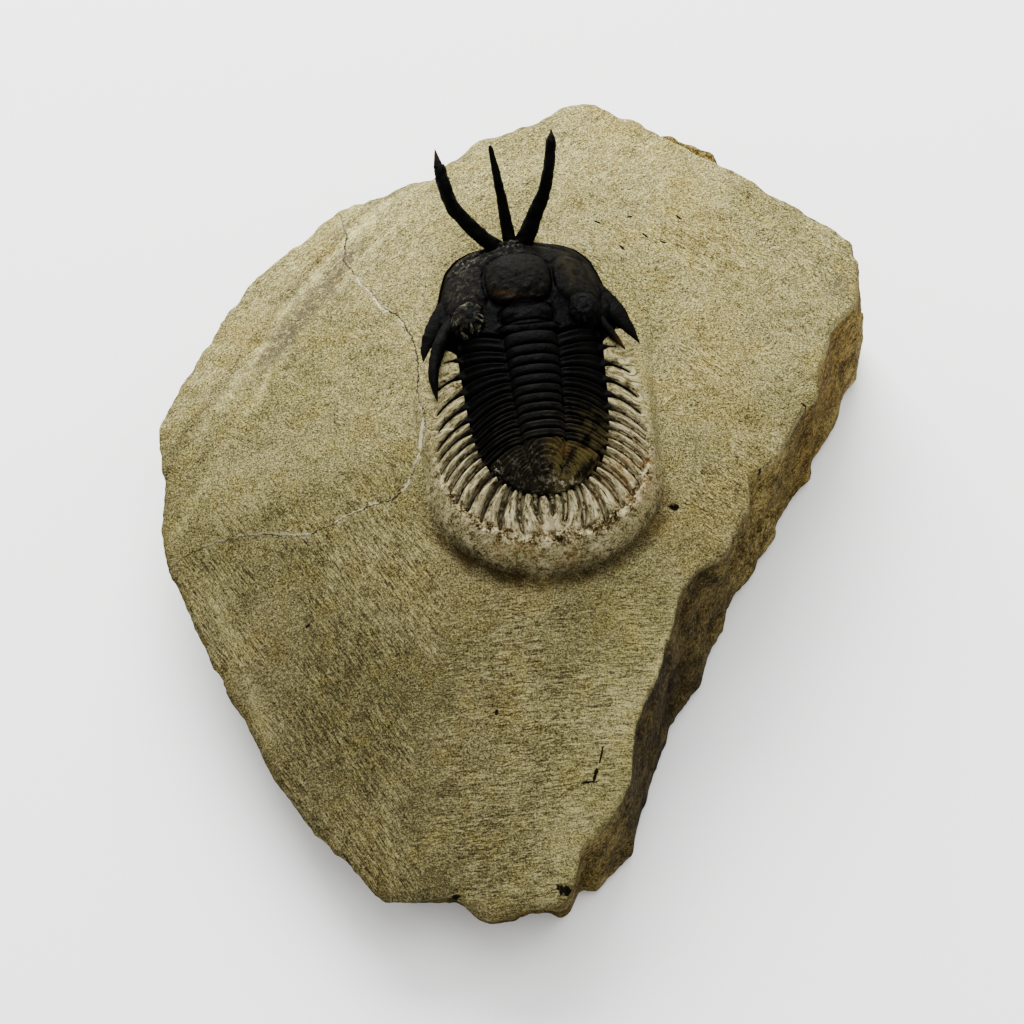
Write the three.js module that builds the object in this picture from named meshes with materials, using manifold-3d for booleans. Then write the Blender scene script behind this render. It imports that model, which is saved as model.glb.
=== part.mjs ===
// A spiny trilobite with a three-pronged fork, lying in its ground limestone slab.
// Millimetres, +Z up, +Y from tail to head. The slab rests on a flat sawn underside.
// All shapes are worked out about the middle of the fossil, and the whole group is moved
// at the end so that the origin is under the middle of the slab.

import * as THREE from "three";
import { mergeVertices } from "three/addons/utils/BufferGeometryUtils.js";
import Module from "manifold-3d";

const wasm = await Module();
wasm.setup();

// Plates and the rock under them
const SHELL_THICKNESS = 1.2;
const BED_DEPTH = 1.9; // rock under a plate, below the plate's top
const PLATE_GAP = 0.3; // clear space between neighbouring plates
const STEP_GAP = 0.35; // clear space between a plate's edge and the rock round it
const GROOVE_GAP = 0.3; // clear space between a spine and its groove
const END_ROOM = 0.9; // how far a groove runs past the ends of its spine
const GROOVE_TOP = 6; // how far over a spine its groove is open
const ROOT = 0.6; // how far a spine of the tail shield starts inside the shield
const STEP_WIDTH = 0.25; // between the gap round the body and the top of the rock beside it
const TINY = 1e-9;
const MERGE_DISTANCE = 1e-4;

// Thorax: joints between plates, from the head to the tail shield, on the axis and at the edge
const AXIS_JOINTS = [8.6, 6.6, 4.6, 2.7, 0.8, -1.1, -2.9, -4.6, -6.2, -7.8, -9.4, -10.9];
const EDGE_JOINTS = [11.7, 9.5, 6.8, 3.6, 0.6, -2.1, -4.4, -6.4, -8.0, -9.5, -11.1, -12.7];
const SEGMENTS = AXIS_JOINTS.length - 1;

// Tips of the side spines, right-hand side, from the first plate back: x, y
const SPINE_TIPS = [
  [13.6, 11.4],
  [14.9, 8.6],
  [16.5, 3.6],
  [17.0, -1.3],
  [17.2, -4.7],
  [17.7, -8.2],
  [17.9, -10.5],
  [17.7, -12.7],
  [17.1, -14.5],
  [16.4, -16.3],
  [15.6, -18.5],
];

// Spines of the tail shield, right-hand side: base x, y, then tip x, y
const TAIL_SPINES = [
  [8.7, -13.9, 14.0, -20.4],
  [7.5, -15.5, 11.9, -22.6],
  [6.1, -16.9, 8.8, -24.6],
  [4.4, -17.8, 5.0, -25.2],
  [2.1, -18.5, 1.9, -23.6],
];
const LAST_SPINE = [0, -18.7, 0, -22.4];

// Side spines: bow towards the head as a share of the length, sections, widths and thickness
const SPINE_BOW = 0.16;
const SPINE_STEPS = 3;
const SPINE_TIP_WIDTH = 0.3;
const SPINE_TIP_TOP = 35.7;
const SPINE_THICKNESS = 0.9;
const SPINE_THINNING = 0.55; // share of the thickness lost from base to tip
const SPINE_SHOULDER = 0.3; // share of the thickness from the crest down to the shoulders
const SPINE_DROP = 0.7; // power of the fall from the base to the tip
const PLATE_SPINE_OUT = 0.5; // from the plate's edge to the base of its spine
const PLATE_SPINE_DOWN = 0.25; // the spine's base below the plate's top
const PLATE_SPINE_WIDTH = 1.15; // at most
const PLATE_SPINE_SHARE = 0.85; // of the plate's length, at most
const PLATE_SPINE_TAPER = 0.7; // power of the narrowing
const TAIL_SPINE_WIDTH = 1.2;
const TAIL_SPINE_DOWN = 0.15;
const TAIL_SPINE_TAPER = 1.8;
const TAIL_SPINE_INNER = 0.95; // share of x where the shield's height is read

// Half width of the axis lobe and of the body against y
const AXIS_HALF = [[-18, 1.2], [-16, 2.3], [-11, 3.6], [0, 4.3], [10, 4.6]];
const BODY_HALF = [
  [-18.6, 0.4], [-18.2, 3.2], [-17, 5.6], [-15, 7.7], [-13, 9.2], [-10.4, 10.3],
  [-6, 11.1], [-2, 11.4], [12, 11.6],
];
// Height of the body's edge, and how much of the full arch is left, against y
const EDGE_HEIGHT = [[-18.6, 36.6], [-12, 37], [0, 37.6], [10, 38.2]];
const ARCH_SHARE = [[-18.6, 0.2], [-17, 0.45], [-14, 0.72], [-10, 0.9], [-4, 1], [12, 1]];
const PLATE_FALL = 2.2;
const BED_FALL = 1.5;
const PLEURA_RISE = 4.0;
const AXIS_RISE = 1.9;
const AXIS_MOST = 0.9; // the axis lobe never takes more than this share of the half width
const JOINT_SWEEP = 1.3; // power of the joints' backward bend across the side lobes
const TAIL_END = -18.8; // y of the hind end of the body
// A thorax plate's top at its fore edge, middle and hind edge, below the smooth back
const PLATE_FORE_DOWN = 0.4;
const PLATE_MIDDLE_DOWN = -0.1;
const PLATE_HIND_DOWN = 0.15;
// Places across the body, as shares of its half width, where a plate has a section
const PLATE_SHARES = [1, 0.78, 0.38, 0.22];

// Tail shield: where its rings lie, sides of its outline, and the ribs that fan out over it
const TAIL_MIDDLE = [0, -13.6];
const TAIL_SHARES = [0.3, 0.58, 0.8, 0.94, 1];
const TAIL_SIDES = 26;
const TAIL_FRONT_SHARES = [0.2, 0.4, 0.6, 0.8, 1];
const TAIL_RIB_RISE = 0.15;
const TAIL_RIB_COUNT = 22; // waves round a half circle, times two
const TAIL_RIB_CENTRE = -8; // y

// Head shield, right-hand half from the front to the back: x, y, height of its margin
const HEAD_HALF = [
  [0, 32.9, 35.6], [4.5, 32.5, 35.6], [7.6, 31.8, 35.6], [10.4, 30.4, 35.6], [12.6, 27.8, 35.6],
  [13.8, 24, 35.8], [14.7, 20, 36.2], [15.7, 16.6, 36.6], [14.2, 14.2, 37.2], [12, 12.6, 38.4],
  [8, 11.2, 41.0], [4.6, 9.9, 41.8], [0, 9.0, 42.0],
];
const HEAD_MIDDLE = [0, 20];
const HEAD_TOP = 41.8;
const HEAD_FALL = 2.6; // power of the fall from the top to the margin
const HEAD_SIDES = 34;
const HEAD_SHARES = [0.24, 0.42, 0.57, 0.7, 0.82, 0.93, 1];
// Swellings of the head shield: x, y, half width, half length, rise
const HEAD_LOBES = [
  [-0.7, 21.3, 5.8, 6.0, 2.0], [0, 13.6, 4.6, 2.6, 1.2], [0, 10.6, 5.2, 1.5, 1.4],
  [9.6, 21.5, 4.2, 5.5, 0.8], [-9.8, 21.0, 4.0, 5.3, 0.7],
];
const SWELLING_POWER = 0.6;
const EYE = { x: 9.7, y: 14.6, half: 3.3, stretch: 1.08, top: 42.4, lidRise: 0.1, sides: 12 };
// Levels of an eye: share of its rise, share of its half width
const EYE_LEVELS = [[0, 1], [0.35, 0.96], [0.85, 0.8], [1, 0.45]];

// Free spines of the head: x, y, z, radius from root to tip
const ROUND_SPINE_SIDES = 5;
const LONG_HORN_LEFT = [
  [-12.6, 15.8, 37.4, 1.3], [-14.6, 12.6, 38.1, 1.3], [-16.2, 8.6, 38.2, 1.1],
  [-16.9, 4.8, 38.1, 0.85], [-16.7, 0.7, 37.5, 0.15],
];
const SHORT_HORN_RIGHT = [
  [11.6, 15.2, 37.4, 1.2], [13.2, 12.4, 38.1, 1.1], [14.8, 9.8, 37.9, 0.8], [16.2, 7.6, 37.4, 0.25],
];
const CHEEK_SPINE_LEFT = [
  [-15.0, 19.0, 36.0, 1.3], [-16.6, 15.6, 36.0, 1.2], [-17.7, 12.6, 35.9, 0.9], [-18.2, 9.9, 35.8, 0.2],
];
const CHEEK_SPINE_RIGHT = [
  [14.0, 20.6, 36.1, 1.4], [15.9, 16.9, 36.2, 1.4], [17.5, 13.4, 36.1, 1.05], [19.0, 9.8, 35.8, 0.2],
];
const FORK_LEFT = [
  [-0.9, 30.4, 36.2, 1.6], [-3.4, 31.6, 36.9, 1.45], [-7.3, 34.1, 40.0, 1.3],
  [-10.3, 36.7, 43.0, 1.25], [-11.4, 39.4, 45.2, 1.15], [-11.9, 42.3, 46.8, 0.9], [-12.4, 45.8, 48, 0.12],
];
const FORK_MIDDLE = [
  [-0.7, 30.4, 36.3, 1.3], [-0.9, 33.2, 37.8, 1.1], [-1.5, 37.3, 41.5, 0.95],
  [-2.1, 41.0, 45.0, 0.72], [-2.8, 45.5, 48.0, 0.1],
];
const FORK_RIGHT = [
  [-0.4, 30.4, 36.2, 1.6], [1.8, 32.3, 37.6, 1.65], [3.9, 34.9, 41.0, 1.4], [5.5, 36.9, 44.0, 1.15],
  [6.7, 39.5, 47.0, 1.0], [7.5, 43.1, 49.6, 0.88], [7.9, 45.4, 51.0, 0.12],
];

// Rock round the fossil. The fan is where its ridges end, the foot where the mound meets
// the ground face, both right-hand halves from the tail to the front: x, y, height
const FAN_HALF = [
  [0, -26.2, 35.4], [5, -25.8, 35.4], [8.8, -24.4, 35.5], [12, -22.2, 35.6], [15.2, -18.7, 35.8],
  [17.2, -13.6, 36], [18.1, -9, 36.1], [18.4, -3, 36.2], [18.4, 2, 36.1], [18.2, 7, 35.9],
  [19.4, 10, 35.6], [18.6, 15.6, 35.3], [16.4, 21.6, 35.1], [15.2, 26, 35], [13.4, 29.8, 35],
  [10.8, 32.4, 35], [6, 34.4, 34.9], [0, 34.9, 34.9],
];
const FOOT_HALF = [
  [0, -30.6, 30.6], [8.2, -28.9, 30.7], [12.8, -26.4, 30.9], [17, -22.2, 31.2], [19.6, -16.8, 31.8],
  [20.6, -8, 32.6], [21, 0, 33.4], [21.4, 7, 34], [21.6, 12, 34.3], [19.8, 21, 34.5],
  [17.4, 27.4, 34.6], [14.6, 32, 34.6], [9, 35.6, 34.5], [0, 36.8, 34.4],
];

// Upper edge of the slab, anticlockwise from the right-hand side: x, y, height
const RIM = [
  [49, 2.5, 30], [54, 13.5, 29.5], [59, 18, 29], [61, 25.5, 29.5], [60.5, 30.5, 30], [46, 44, 31],
  [31, 56, 31], [26, 62, 30.5], [23, 62.5, 30.5], [19, 66.5, 30], [14.5, 67.5, 30], [3.5, 63, 29],
  [-4, 61.5, 28.5], [-13, 55, 27], [-16.5, 55.5, 27], [-20.5, 53.5, 26], [-30, 51.5, 25],
  [-46, 40.5, 22.5], [-55, 29, 21], [-62.5, 17.5, 20], [-65, 12, 20], [-65.5, 7.5, 19.5],
  [-64.5, 1.5, 19], [-66, -8.5, 18.5], [-65.2, -16, 18], [-57.3, -37.5, 15.8], [-48.8, -58.3, 13.5],
  [-34, -78, 12.5],
  [-23, -79, 14], [-17.5, -83.5, 13.5], [-5.5, -83, 16.5], [-3.5, -81, 17.5], [-1.5, -76, 19.5],
  [5, -70, 21.5], [7.5, -66, 22.5], [10, -56, 24.5], [17.5, -42.5, 27], [20, -35, 28],
  [22, -32.5, 28.5], [28.5, -29.5, 29], [33.5, -21, 29.5], [34, -16, 30], [40.5, -11.5, 30],
  [47, -2, 30], [49.5, 0, 30],
];
// How far the underside reaches past the upper edge, against the angle in degrees
const FOOTPRINT_REACH = [
  [-180, -7], [-120, -6], [-104, -4], [-95, -5], [-92, -1.4], [-89, 2.4], [-86, 2.6], [-80, 6.2],
  [-74, 3.9], [-68, 4], [-59, 7.4], [-53, 4.4], [-47, 1.4], [-35, 0.6], [-32, 0.8], [-26, 3.6],
  [-20, 2.6], [-14, 1.2], [-2, 2], [1, 1.6], [10, 5], [13, 5.2], [16, 3.6], [25, 4], [32, 0],
  [42, -4], [90, -6], [180, -7],
];
// A broken ledge that stands out below the upper edge, against the angle in degrees
const LEDGE_REACH = [[50, 0], [54, 4.6], [62, 3.6], [68, 0]];
const LEDGE_LIFT = 1.1; // rise of the ledge for each millimetre of its reach
// The slab's side: share of the way out, share of the upper edge's height
const UPPER_SIDE = [0.35, 0.72];
const LOWER_SIDE = [0.9, 0.3];
const BASE_HEIGHT = 2; // of the broken side over the underside
const BASE_CHAMFER = 1.5;
const SHOULDER_SHARE = 0.62; // height left halfway down the mound
const WIDEST_CUT = THREE.MathUtils.degToRad(8.5); // between radial cuts through the slab
const BED_SHARES = [0.35, 0.7, 0.92];
const GROUND_SHARES = [0.2, 0.5, 0.8];
const GROUND_CURVE = 1.25;
// Where the rock follows the head: y of the last plates, over how long the bed changes, and
// from where the rock round the body is level with the ground face
const HEAD_BED_START = 7.5;
const HEAD_BED_LENGTH = 3;
const HEAD_SIDE_START = 16;
const HEAD_STEP_RISE = 0.2;
const THORAX_STEP_DOWN = 0.1;
// The body's outline between the head and the thorax
const CHEEK_CORNER = [[15.9, 15.4, 0], [14.6, 12.2, 0], [12, 9, 0]];

// Value of a table of [input, output] rows at a given input, on straight lines between rows.
function tableAt(table, input) {
  if (input <= table[0][0]) return table[0][1];
  for (let i = 1; i < table.length; i++) {
    const [x0, y0] = table[i - 1];
    const [x1, y1] = table[i];
    if (input <= x1) return y0 + ((y1 - y0) * (input - x0)) / (x1 - x0);
  }
  return table[table.length - 1][1];
}

function clamp01(value) {
  return Math.min(Math.max(value, 0), 1);
}

// A whole outline from its right-hand half, which starts and ends on the middle line.
function mirrored(half) {
  const left = half.slice(1, -1).reverse().map(([x, y, z]) => [-x, y, z]);
  return [...half, ...left];
}

// Distance and height at which a ray from the middle, at the given angle, leaves an outline.
function reachOf(outline, angle, middle = [0, 0]) {
  const dx = Math.cos(angle);
  const dy = Math.sin(angle);
  let best = { reach: 0, height: 0 };
  outline.forEach(([x0, y0, z0], i) => {
    const [x1, y1, z1] = outline[(i + 1) % outline.length];
    const ex = x1 - x0;
    const ey = y1 - y0;
    const det = ex * dy - ey * dx;
    if (Math.abs(det) < TINY) return;
    const px = middle[0] - x0;
    const py = middle[1] - y0;
    const along = (px * dy - py * dx) / det;
    const reach = (px * ey - py * ex) / det;
    if (along < -TINY || along > 1 + TINY || reach <= best.reach) return;
    best = { reach, height: z0 + along * (z1 - z0) };
  });
  return best;
}

// A closed geometry from points and triangles, turned to face outwards.
function closedGeometry(points, triangles) {
  let volume = 0;
  const cross = new THREE.Vector3();
  for (const [a, b, c] of triangles) {
    volume += points[a].dot(cross.crossVectors(points[b], points[c]));
  }
  const index = triangles.flatMap(([a, b, c]) => (volume < 0 ? [a, c, b] : [a, b, c]));
  const geometry = new THREE.BufferGeometry().setFromPoints(points);
  geometry.setIndex(index);
  return geometry;
}

// A bar through a row of sections of equal point count, with flat ends.
function loft(sections) {
  const count = sections[0].length;
  const triangles = [];
  for (let s = 1; s < sections.length; s++) {
    for (let i = 0; i < count; i++) {
      const j = (i + 1) % count;
      const a = (s - 1) * count;
      const b = s * count;
      triangles.push([a + i, a + j, b + j], [a + i, b + j, b + i]);
    }
  }
  const last = (sections.length - 1) * count;
  for (let i = 1; i < count - 1; i++) {
    triangles.push([0, i + 1, i], [last, last + i, last + i + 1]);
  }
  return closedGeometry(sections.flat(), triangles);
}

// A solid through rings of equal point count, closed by one point at each end.
function shellOfRings(first, rings, last) {
  const count = rings[0].length;
  const points = [first, ...rings.flat(), last];
  const end = points.length - 1;
  const triangles = [];
  for (let i = 0; i < count; i++) {
    const j = (i + 1) % count;
    triangles.push([0, 1 + i, 1 + j]);
    for (let r = 1; r < rings.length; r++) {
      const a = 1 + (r - 1) * count;
      const b = 1 + r * count;
      triangles.push([a + i, b + i, b + j], [a + i, b + j, a + j]);
    }
    const rim = 1 + (rings.length - 1) * count;
    triangles.push([rim + i, end, rim + j]);
  }
  return closedGeometry(points, triangles);
}

function toSolid(geometry) {
  const bare = new THREE.BufferGeometry();
  bare.setAttribute("position", geometry.getAttribute("position"));
  bare.setIndex(geometry.getIndex());
  const merged = mergeVertices(bare, MERGE_DISTANCE);
  return new wasm.Manifold(
    new wasm.Mesh({
      numProp: 3,
      vertProperties: new Float32Array(merged.getAttribute("position").array),
      triVerts: new Uint32Array(merged.getIndex().array),
    }),
  );
}

function toGeometry(solid) {
  const mesh = solid.getMesh();
  const geometry = new THREE.BufferGeometry();
  geometry.setAttribute("position", new THREE.BufferAttribute(mesh.vertProperties, mesh.numProp));
  geometry.setIndex(new THREE.BufferAttribute(mesh.triVerts, 1));
  return geometry;
}

// Height of the smooth back of thorax and tail shield, before ribs and joints. A lower fall
// drops sooner from the axis to the edge.
function backHeight(x, y, fall = PLATE_FALL) {
  const half = tableAt(BODY_HALF, y);
  const axis = Math.min(tableAt(AXIS_HALF, y), half * AXIS_MOST);
  const arch = tableAt(ARCH_SHARE, y);
  const out = clamp01((Math.abs(x) - axis) / (half - axis));
  const pleura = tableAt(EDGE_HEIGHT, y) + PLEURA_RISE * arch * (1 - out ** fall);
  const lobe = Math.sqrt(Math.max(0, 1 - (x / axis) ** 2));
  return pleura + AXIS_RISE * arch * lobe;
}

// Rise of one rounded swelling of the head at a point.
function swelling([cx, cy, halfWidth, halfLength, rise], x, y) {
  const q = ((x - cx) / halfWidth) ** 2 + ((y - cy) / halfLength) ** 2;
  return rise * Math.max(0, 1 - q) ** SWELLING_POWER;
}

// Height of the smooth head shield, and the same with its lobes.
const HEAD_OUTLINE = mirrored(HEAD_HALF);
function headArch(x, y) {
  const angle = Math.atan2(y - HEAD_MIDDLE[1], x - HEAD_MIDDLE[0]);
  const { reach, height } = reachOf(HEAD_OUTLINE, angle, HEAD_MIDDLE);
  const share = clamp01(Math.hypot(x - HEAD_MIDDLE[0], y - HEAD_MIDDLE[1]) / reach);
  return height + (HEAD_TOP - height) * (1 - share ** HEAD_FALL);
}
function headHeight(x, y) {
  const lobes = HEAD_LOBES.map((lobe) => swelling(lobe, x, y));
  return headArch(x, y) + Math.max(...lobes);
}

// Line of a joint between two plates: y against x.
function jointLine(joint, x) {
  const y = AXIS_JOINTS[joint];
  const axis = tableAt(AXIS_HALF, y);
  const half = tableAt(BODY_HALF, y);
  const out = clamp01((Math.abs(x) - axis) / (half - axis));
  return y + (EDGE_JOINTS[joint] - y) * out ** JOINT_SWEEP;
}

// Points of a curved side spine from its base to its tip, in plan, bowed towards the head.
function spinePath(base, tip, steps) {
  const dx = tip[0] - base[0];
  const dy = tip[1] - base[1];
  const towardsHead = Math.sign(tip[0]) || 1;
  const cx = (base[0] + tip[0]) / 2 - dy * SPINE_BOW * towardsHead;
  const cy = (base[1] + tip[1]) / 2 + dx * SPINE_BOW * towardsHead;
  return Array.from({ length: steps + 1 }, (_, i) => {
    const t = i / steps;
    const a = (1 - t) ** 2;
    const b = 2 * t * (1 - t);
    const c = t ** 2;
    return [a * base[0] + b * cx + c * tip[0], a * base[1] + b * cy + c * tip[1], t];
  });
}

// Stations of a side spine: a point on its top, the direction across it and its half width.
function spineStations(base, tip, baseTop, baseWidth, taper) {
  const path = spinePath(base, tip, SPINE_STEPS);
  return path.map(([x, y, t], i) => {
    const before = path[Math.max(i - 1, 0)];
    const after = path[Math.min(i + 1, SPINE_STEPS)];
    const along = new THREE.Vector2(after[0] - before[0], after[1] - before[1]).normalize();
    const across = new THREE.Vector2(-along.y, along.x);
    if (across.y < 0) across.negate();
    const width = baseWidth + (SPINE_TIP_WIDTH - baseWidth) * t ** taper;
    const z = baseTop + (SPINE_TIP_TOP - baseTop) * t ** SPINE_DROP;
    return { x, y, z, across, half: width / 2, thick: SPINE_THICKNESS * (1 - SPINE_THINNING * t) };
  });
}

// Five-sided section of a spine at one station.
function spineSection({ x, y, z, across, half, thick }) {
  const at = (side, down) =>
    new THREE.Vector3(x + across.x * side * half, y + across.y * side * half, z - down);
  const shoulder = thick * SPINE_SHOULDER;
  return [at(1, thick), at(1, shoulder), at(0, 0), at(-1, shoulder), at(-1, thick)];
}

// Four-sided section of the groove that holds a spine, open to the top.
function grooveSection({ x, y, z, across, half, thick }) {
  const side = half + GROOVE_GAP;
  const at = (sign, height) =>
    new THREE.Vector3(x + across.x * sign * side, y + across.y * sign * side, height);
  const floor = z - thick - GROOVE_GAP;
  const open = z + GROOVE_TOP;
  return [at(1, floor), at(1, open), at(-1, open), at(-1, floor)];
}

// A copy of one station moved on, away from its neighbour.
function movedOn(station, neighbour, distance) {
  const dx = station.x - neighbour.x;
  const dy = station.y - neighbour.y;
  const share = distance / Math.hypot(dx, dy);
  return { ...station, x: station.x + dx * share, y: station.y + dy * share };
}

// A groove over all of a spine, carried past both of its ends.
function spineGroove(stations) {
  const first = movedOn(stations[0], stations[1], END_ROOM);
  const last = movedOn(stations[SPINE_STEPS], stations[SPINE_STEPS - 1], END_ROOM);
  return loft([first, ...stations, last].map(grooveSection));
}

// Base point, tip and sizes of a thorax plate's spine on one side.
function plateSpine(plate, side) {
  const front = EDGE_JOINTS[plate] - PLATE_GAP / 2;
  const back = EDGE_JOINTS[plate + 1] + PLATE_GAP / 2;
  const y = (front + back) / 2;
  const x = tableAt(BODY_HALF, y) * side;
  const [tipX, tipY] = SPINE_TIPS[plate];
  const tip = [tipX * side, tipY];
  const slope = Math.abs(x - tip[0]) / Math.hypot(x - tip[0], y - tip[1]);
  const width = Math.min(PLATE_SPINE_WIDTH, (front - back) * slope * PLATE_SPINE_SHARE);
  const top = backHeight(x, y) - PLATE_SPINE_DOWN;
  return spineStations([x + side * PLATE_SPINE_OUT, y], tip, top, width, PLATE_SPINE_TAPER);
}

// Section of a thorax plate where it crosses the body at x: fore edge, raised middle, hind edge.
function plateSection(plate, x) {
  const front = jointLine(plate, x) - PLATE_GAP / 2;
  const back = jointLine(plate + 1, x) + PLATE_GAP / 2;
  const middle = (front + back) / 2;
  const at = (y, down) => new THREE.Vector3(x, y, backHeight(x, y) - down);
  return [
    at(front, SHELL_THICKNESS),
    at(front, PLATE_FORE_DOWN),
    at(middle, PLATE_MIDDLE_DOWN),
    at(back, PLATE_HIND_DOWN),
    at(back, SHELL_THICKNESS),
  ];
}

function thoraxPlate(plate) {
  const halfWidth = tableAt(BODY_HALF, (EDGE_JOINTS[plate] + EDGE_JOINTS[plate + 1]) / 2);
  const right = PLATE_SHARES.map((share) => plateSection(plate, share * halfWidth));
  const left = PLATE_SHARES.map((share) => plateSection(plate, -share * halfWidth)).reverse();
  const rightSpine = plateSpine(plate, 1).map(spineSection).reverse();
  const leftSpine = plateSpine(plate, -1).map(spineSection);
  return loft([...rightSpine, ...right, plateSection(plate, 0), ...left, ...leftSpine]);
}

// A round spine through rows of x, y, z, radius.
function roundSpine(rows) {
  const up = new THREE.Vector3(0, 0, 1);
  const curve = new THREE.CatmullRomCurve3(rows.map(([x, y, z]) => new THREE.Vector3(x, y, z)));
  const sections = rows.map(([x, y, z, radius], i) => {
    const centre = new THREE.Vector3(x, y, z);
    const along = curve.getTangent(i / (rows.length - 1));
    const across = new THREE.Vector3().crossVectors(along, up).normalize();
    const above = new THREE.Vector3().crossVectors(across, along).normalize();
    return Array.from({ length: ROUND_SPINE_SIDES }, (_, k) => {
      const turn = (k / ROUND_SPINE_SIDES) * 2 * Math.PI;
      return centre
        .clone()
        .addScaledVector(across, radius * Math.cos(turn))
        .addScaledVector(above, radius * Math.sin(turn));
    });
  });
  return loft(sections);
}

// Room in the rock for a round spine: its plan widened, from just under it to the open.
function roundSpineGroove(rows) {
  const stations = rows.map(([x, y, z, radius], i) => {
    const before = rows[Math.max(i - 1, 0)];
    const after = rows[Math.min(i + 1, rows.length - 1)];
    const along = new THREE.Vector2(after[0] - before[0], after[1] - before[1]).normalize();
    const across = new THREE.Vector2(-along.y, along.x);
    const side = radius + GROOVE_GAP;
    const at = (sign, height) =>
      new THREE.Vector3(x + across.x * sign * side, y + across.y * sign * side, height);
    const room = i === 0 ? -END_ROOM : i === rows.length - 1 ? END_ROOM : 0;
    const move = new THREE.Vector3(along.x * room, along.y * room, 0);
    const floor = z - radius - GROOVE_GAP;
    const open = z + GROOVE_TOP;
    return [at(1, floor), at(1, open), at(-1, open), at(-1, floor)].map((p) => p.add(move));
  });
  return loft(stations);
}

// A plate from an outline: rings shrunk towards a middle, a top surface and an even thickness.
function domedPlate(outline, middle, shares, topHeight, thickness) {
  const at = ([x, y], share, down) => {
    const px = middle[0] + (x - middle[0]) * share;
    const py = middle[1] + (y - middle[1]) * share;
    return new THREE.Vector3(px, py, topHeight(px, py) - down);
  };
  const top = shares.map((share) => outline.map((point) => at(point, share, 0)));
  const lower = [...shares].reverse().filter((_, i) => i % 2 === 0);
  const under = lower.map((share) => outline.map((point) => at(point, share, thickness)));
  return shellOfRings(at(middle, 0, 0), [...top, ...under], at(middle, 0, thickness));
}

// An outline cut into steps of nearly even angle about a middle.
function evenOutline(outline, middle, count) {
  return Array.from({ length: count }, (_, i) => {
    const angle = (i / count) * 2 * Math.PI;
    const { reach } = reachOf(outline, angle, middle);
    return [middle[0] + reach * Math.cos(angle), middle[1] + reach * Math.sin(angle)];
  });
}

// A crescent eye: a low turret with a sloping outer face and a flat lid.
function eyeTurret(side) {
  const rings = EYE_LEVELS.map(([rise, share]) =>
    Array.from({ length: EYE.sides }, (_, i) => {
      const turn = (i / EYE.sides) * 2 * Math.PI;
      const x = EYE.x + EYE.half * share * Math.cos(turn);
      const y = EYE.y + EYE.half * EYE.stretch * share * Math.sin(turn);
      const foot = headHeight(x * side, y) - SHELL_THICKNESS / 2;
      return new THREE.Vector3(x * side, y, foot + (EYE.top - foot) * rise);
    }),
  );
  const lid = new THREE.Vector3(EYE.x * side, EYE.y, EYE.top + EYE.lidRise);
  const bottom = headHeight(EYE.x * side, EYE.y) - SHELL_THICKNESS / 2;
  const floor = new THREE.Vector3(EYE.x * side, EYE.y, bottom);
  return shellOfRings(floor, rings, lid);
}

const HEAD_SPINES = [
  LONG_HORN_LEFT,
  SHORT_HORN_RIGHT,
  CHEEK_SPINE_LEFT,
  CHEEK_SPINE_RIGHT,
  FORK_LEFT,
  FORK_MIDDLE,
  FORK_RIGHT,
];

function headShield() {
  const outline = evenOutline(HEAD_OUTLINE, HEAD_MIDDLE, HEAD_SIDES);
  const shield = domedPlate(outline, HEAD_MIDDLE, HEAD_SHARES, headHeight, SHELL_THICKNESS);
  const parts = [eyeTurret(1), eyeTurret(-1), ...HEAD_SPINES.map(roundSpine)];
  return toGeometry(parts.reduce((solid, part) => solid.add(toSolid(part)), toSolid(shield)));
}

// Outline of the tail shield: along its front joint, then round the tail.
function tailOutline() {
  const edge = tableAt(BODY_HALF, EDGE_JOINTS[SEGMENTS]);
  const front = TAIL_FRONT_SHARES.map((share) => {
    const x = edge * share;
    return [x, jointLine(SEGMENTS, x) - PLATE_GAP / 2, 0];
  });
  const behind = BODY_HALF.filter(([y]) => y < EDGE_JOINTS[SEGMENTS]).reverse();
  const rear = behind.map(([y, half]) => [half, y, 0]);
  const start = [0, AXIS_JOINTS[SEGMENTS] - PLATE_GAP / 2, 0];
  return mirrored([start, ...front, ...rear, [0, TAIL_END, 0]]);
}

// Height of the tail shield: the smooth back with shallow ribs fanning out from its axis.
function tailHeight(x, y) {
  const axis = tableAt(AXIS_HALF, y);
  const turn = Math.atan2(Math.abs(x), TAIL_RIB_CENTRE - y);
  const ribs = Math.abs(x) > axis ? Math.cos(turn * TAIL_RIB_COUNT) : 0;
  return backHeight(x, y) + TAIL_RIB_RISE * ribs;
}

function tailSpineStations([baseX, baseY, tipX, tipY], side) {
  const top = backHeight(baseX * TAIL_SPINE_INNER, baseY) - TAIL_SPINE_DOWN;
  const base = [baseX * side, baseY];
  return spineStations(base, [tipX * side, tipY], top, TAIL_SPINE_WIDTH, TAIL_SPINE_TAPER);
}

// Every spine of the tail shield as stations: pairs, then the one on the middle line.
function tailSpines() {
  const pairs = TAIL_SPINES.flatMap((row) => [tailSpineStations(row, 1), tailSpineStations(row, -1)]);
  return [...pairs, tailSpineStations(LAST_SPINE, 1)];
}

function tailShield() {
  const outline = evenOutline(tailOutline(), TAIL_MIDDLE, TAIL_SIDES);
  const shield = domedPlate(outline, TAIL_MIDDLE, TAIL_SHARES, tailHeight, SHELL_THICKNESS);
  const rooted = tailSpines().map((stations) => {
    const root = movedOn(stations[0], stations[1], ROOT);
    return loft([root, ...stations].map(spineSection));
  });
  return toGeometry(rooted.reduce((solid, spine) => solid.add(toSolid(spine)), toSolid(shield)));
}

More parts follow.
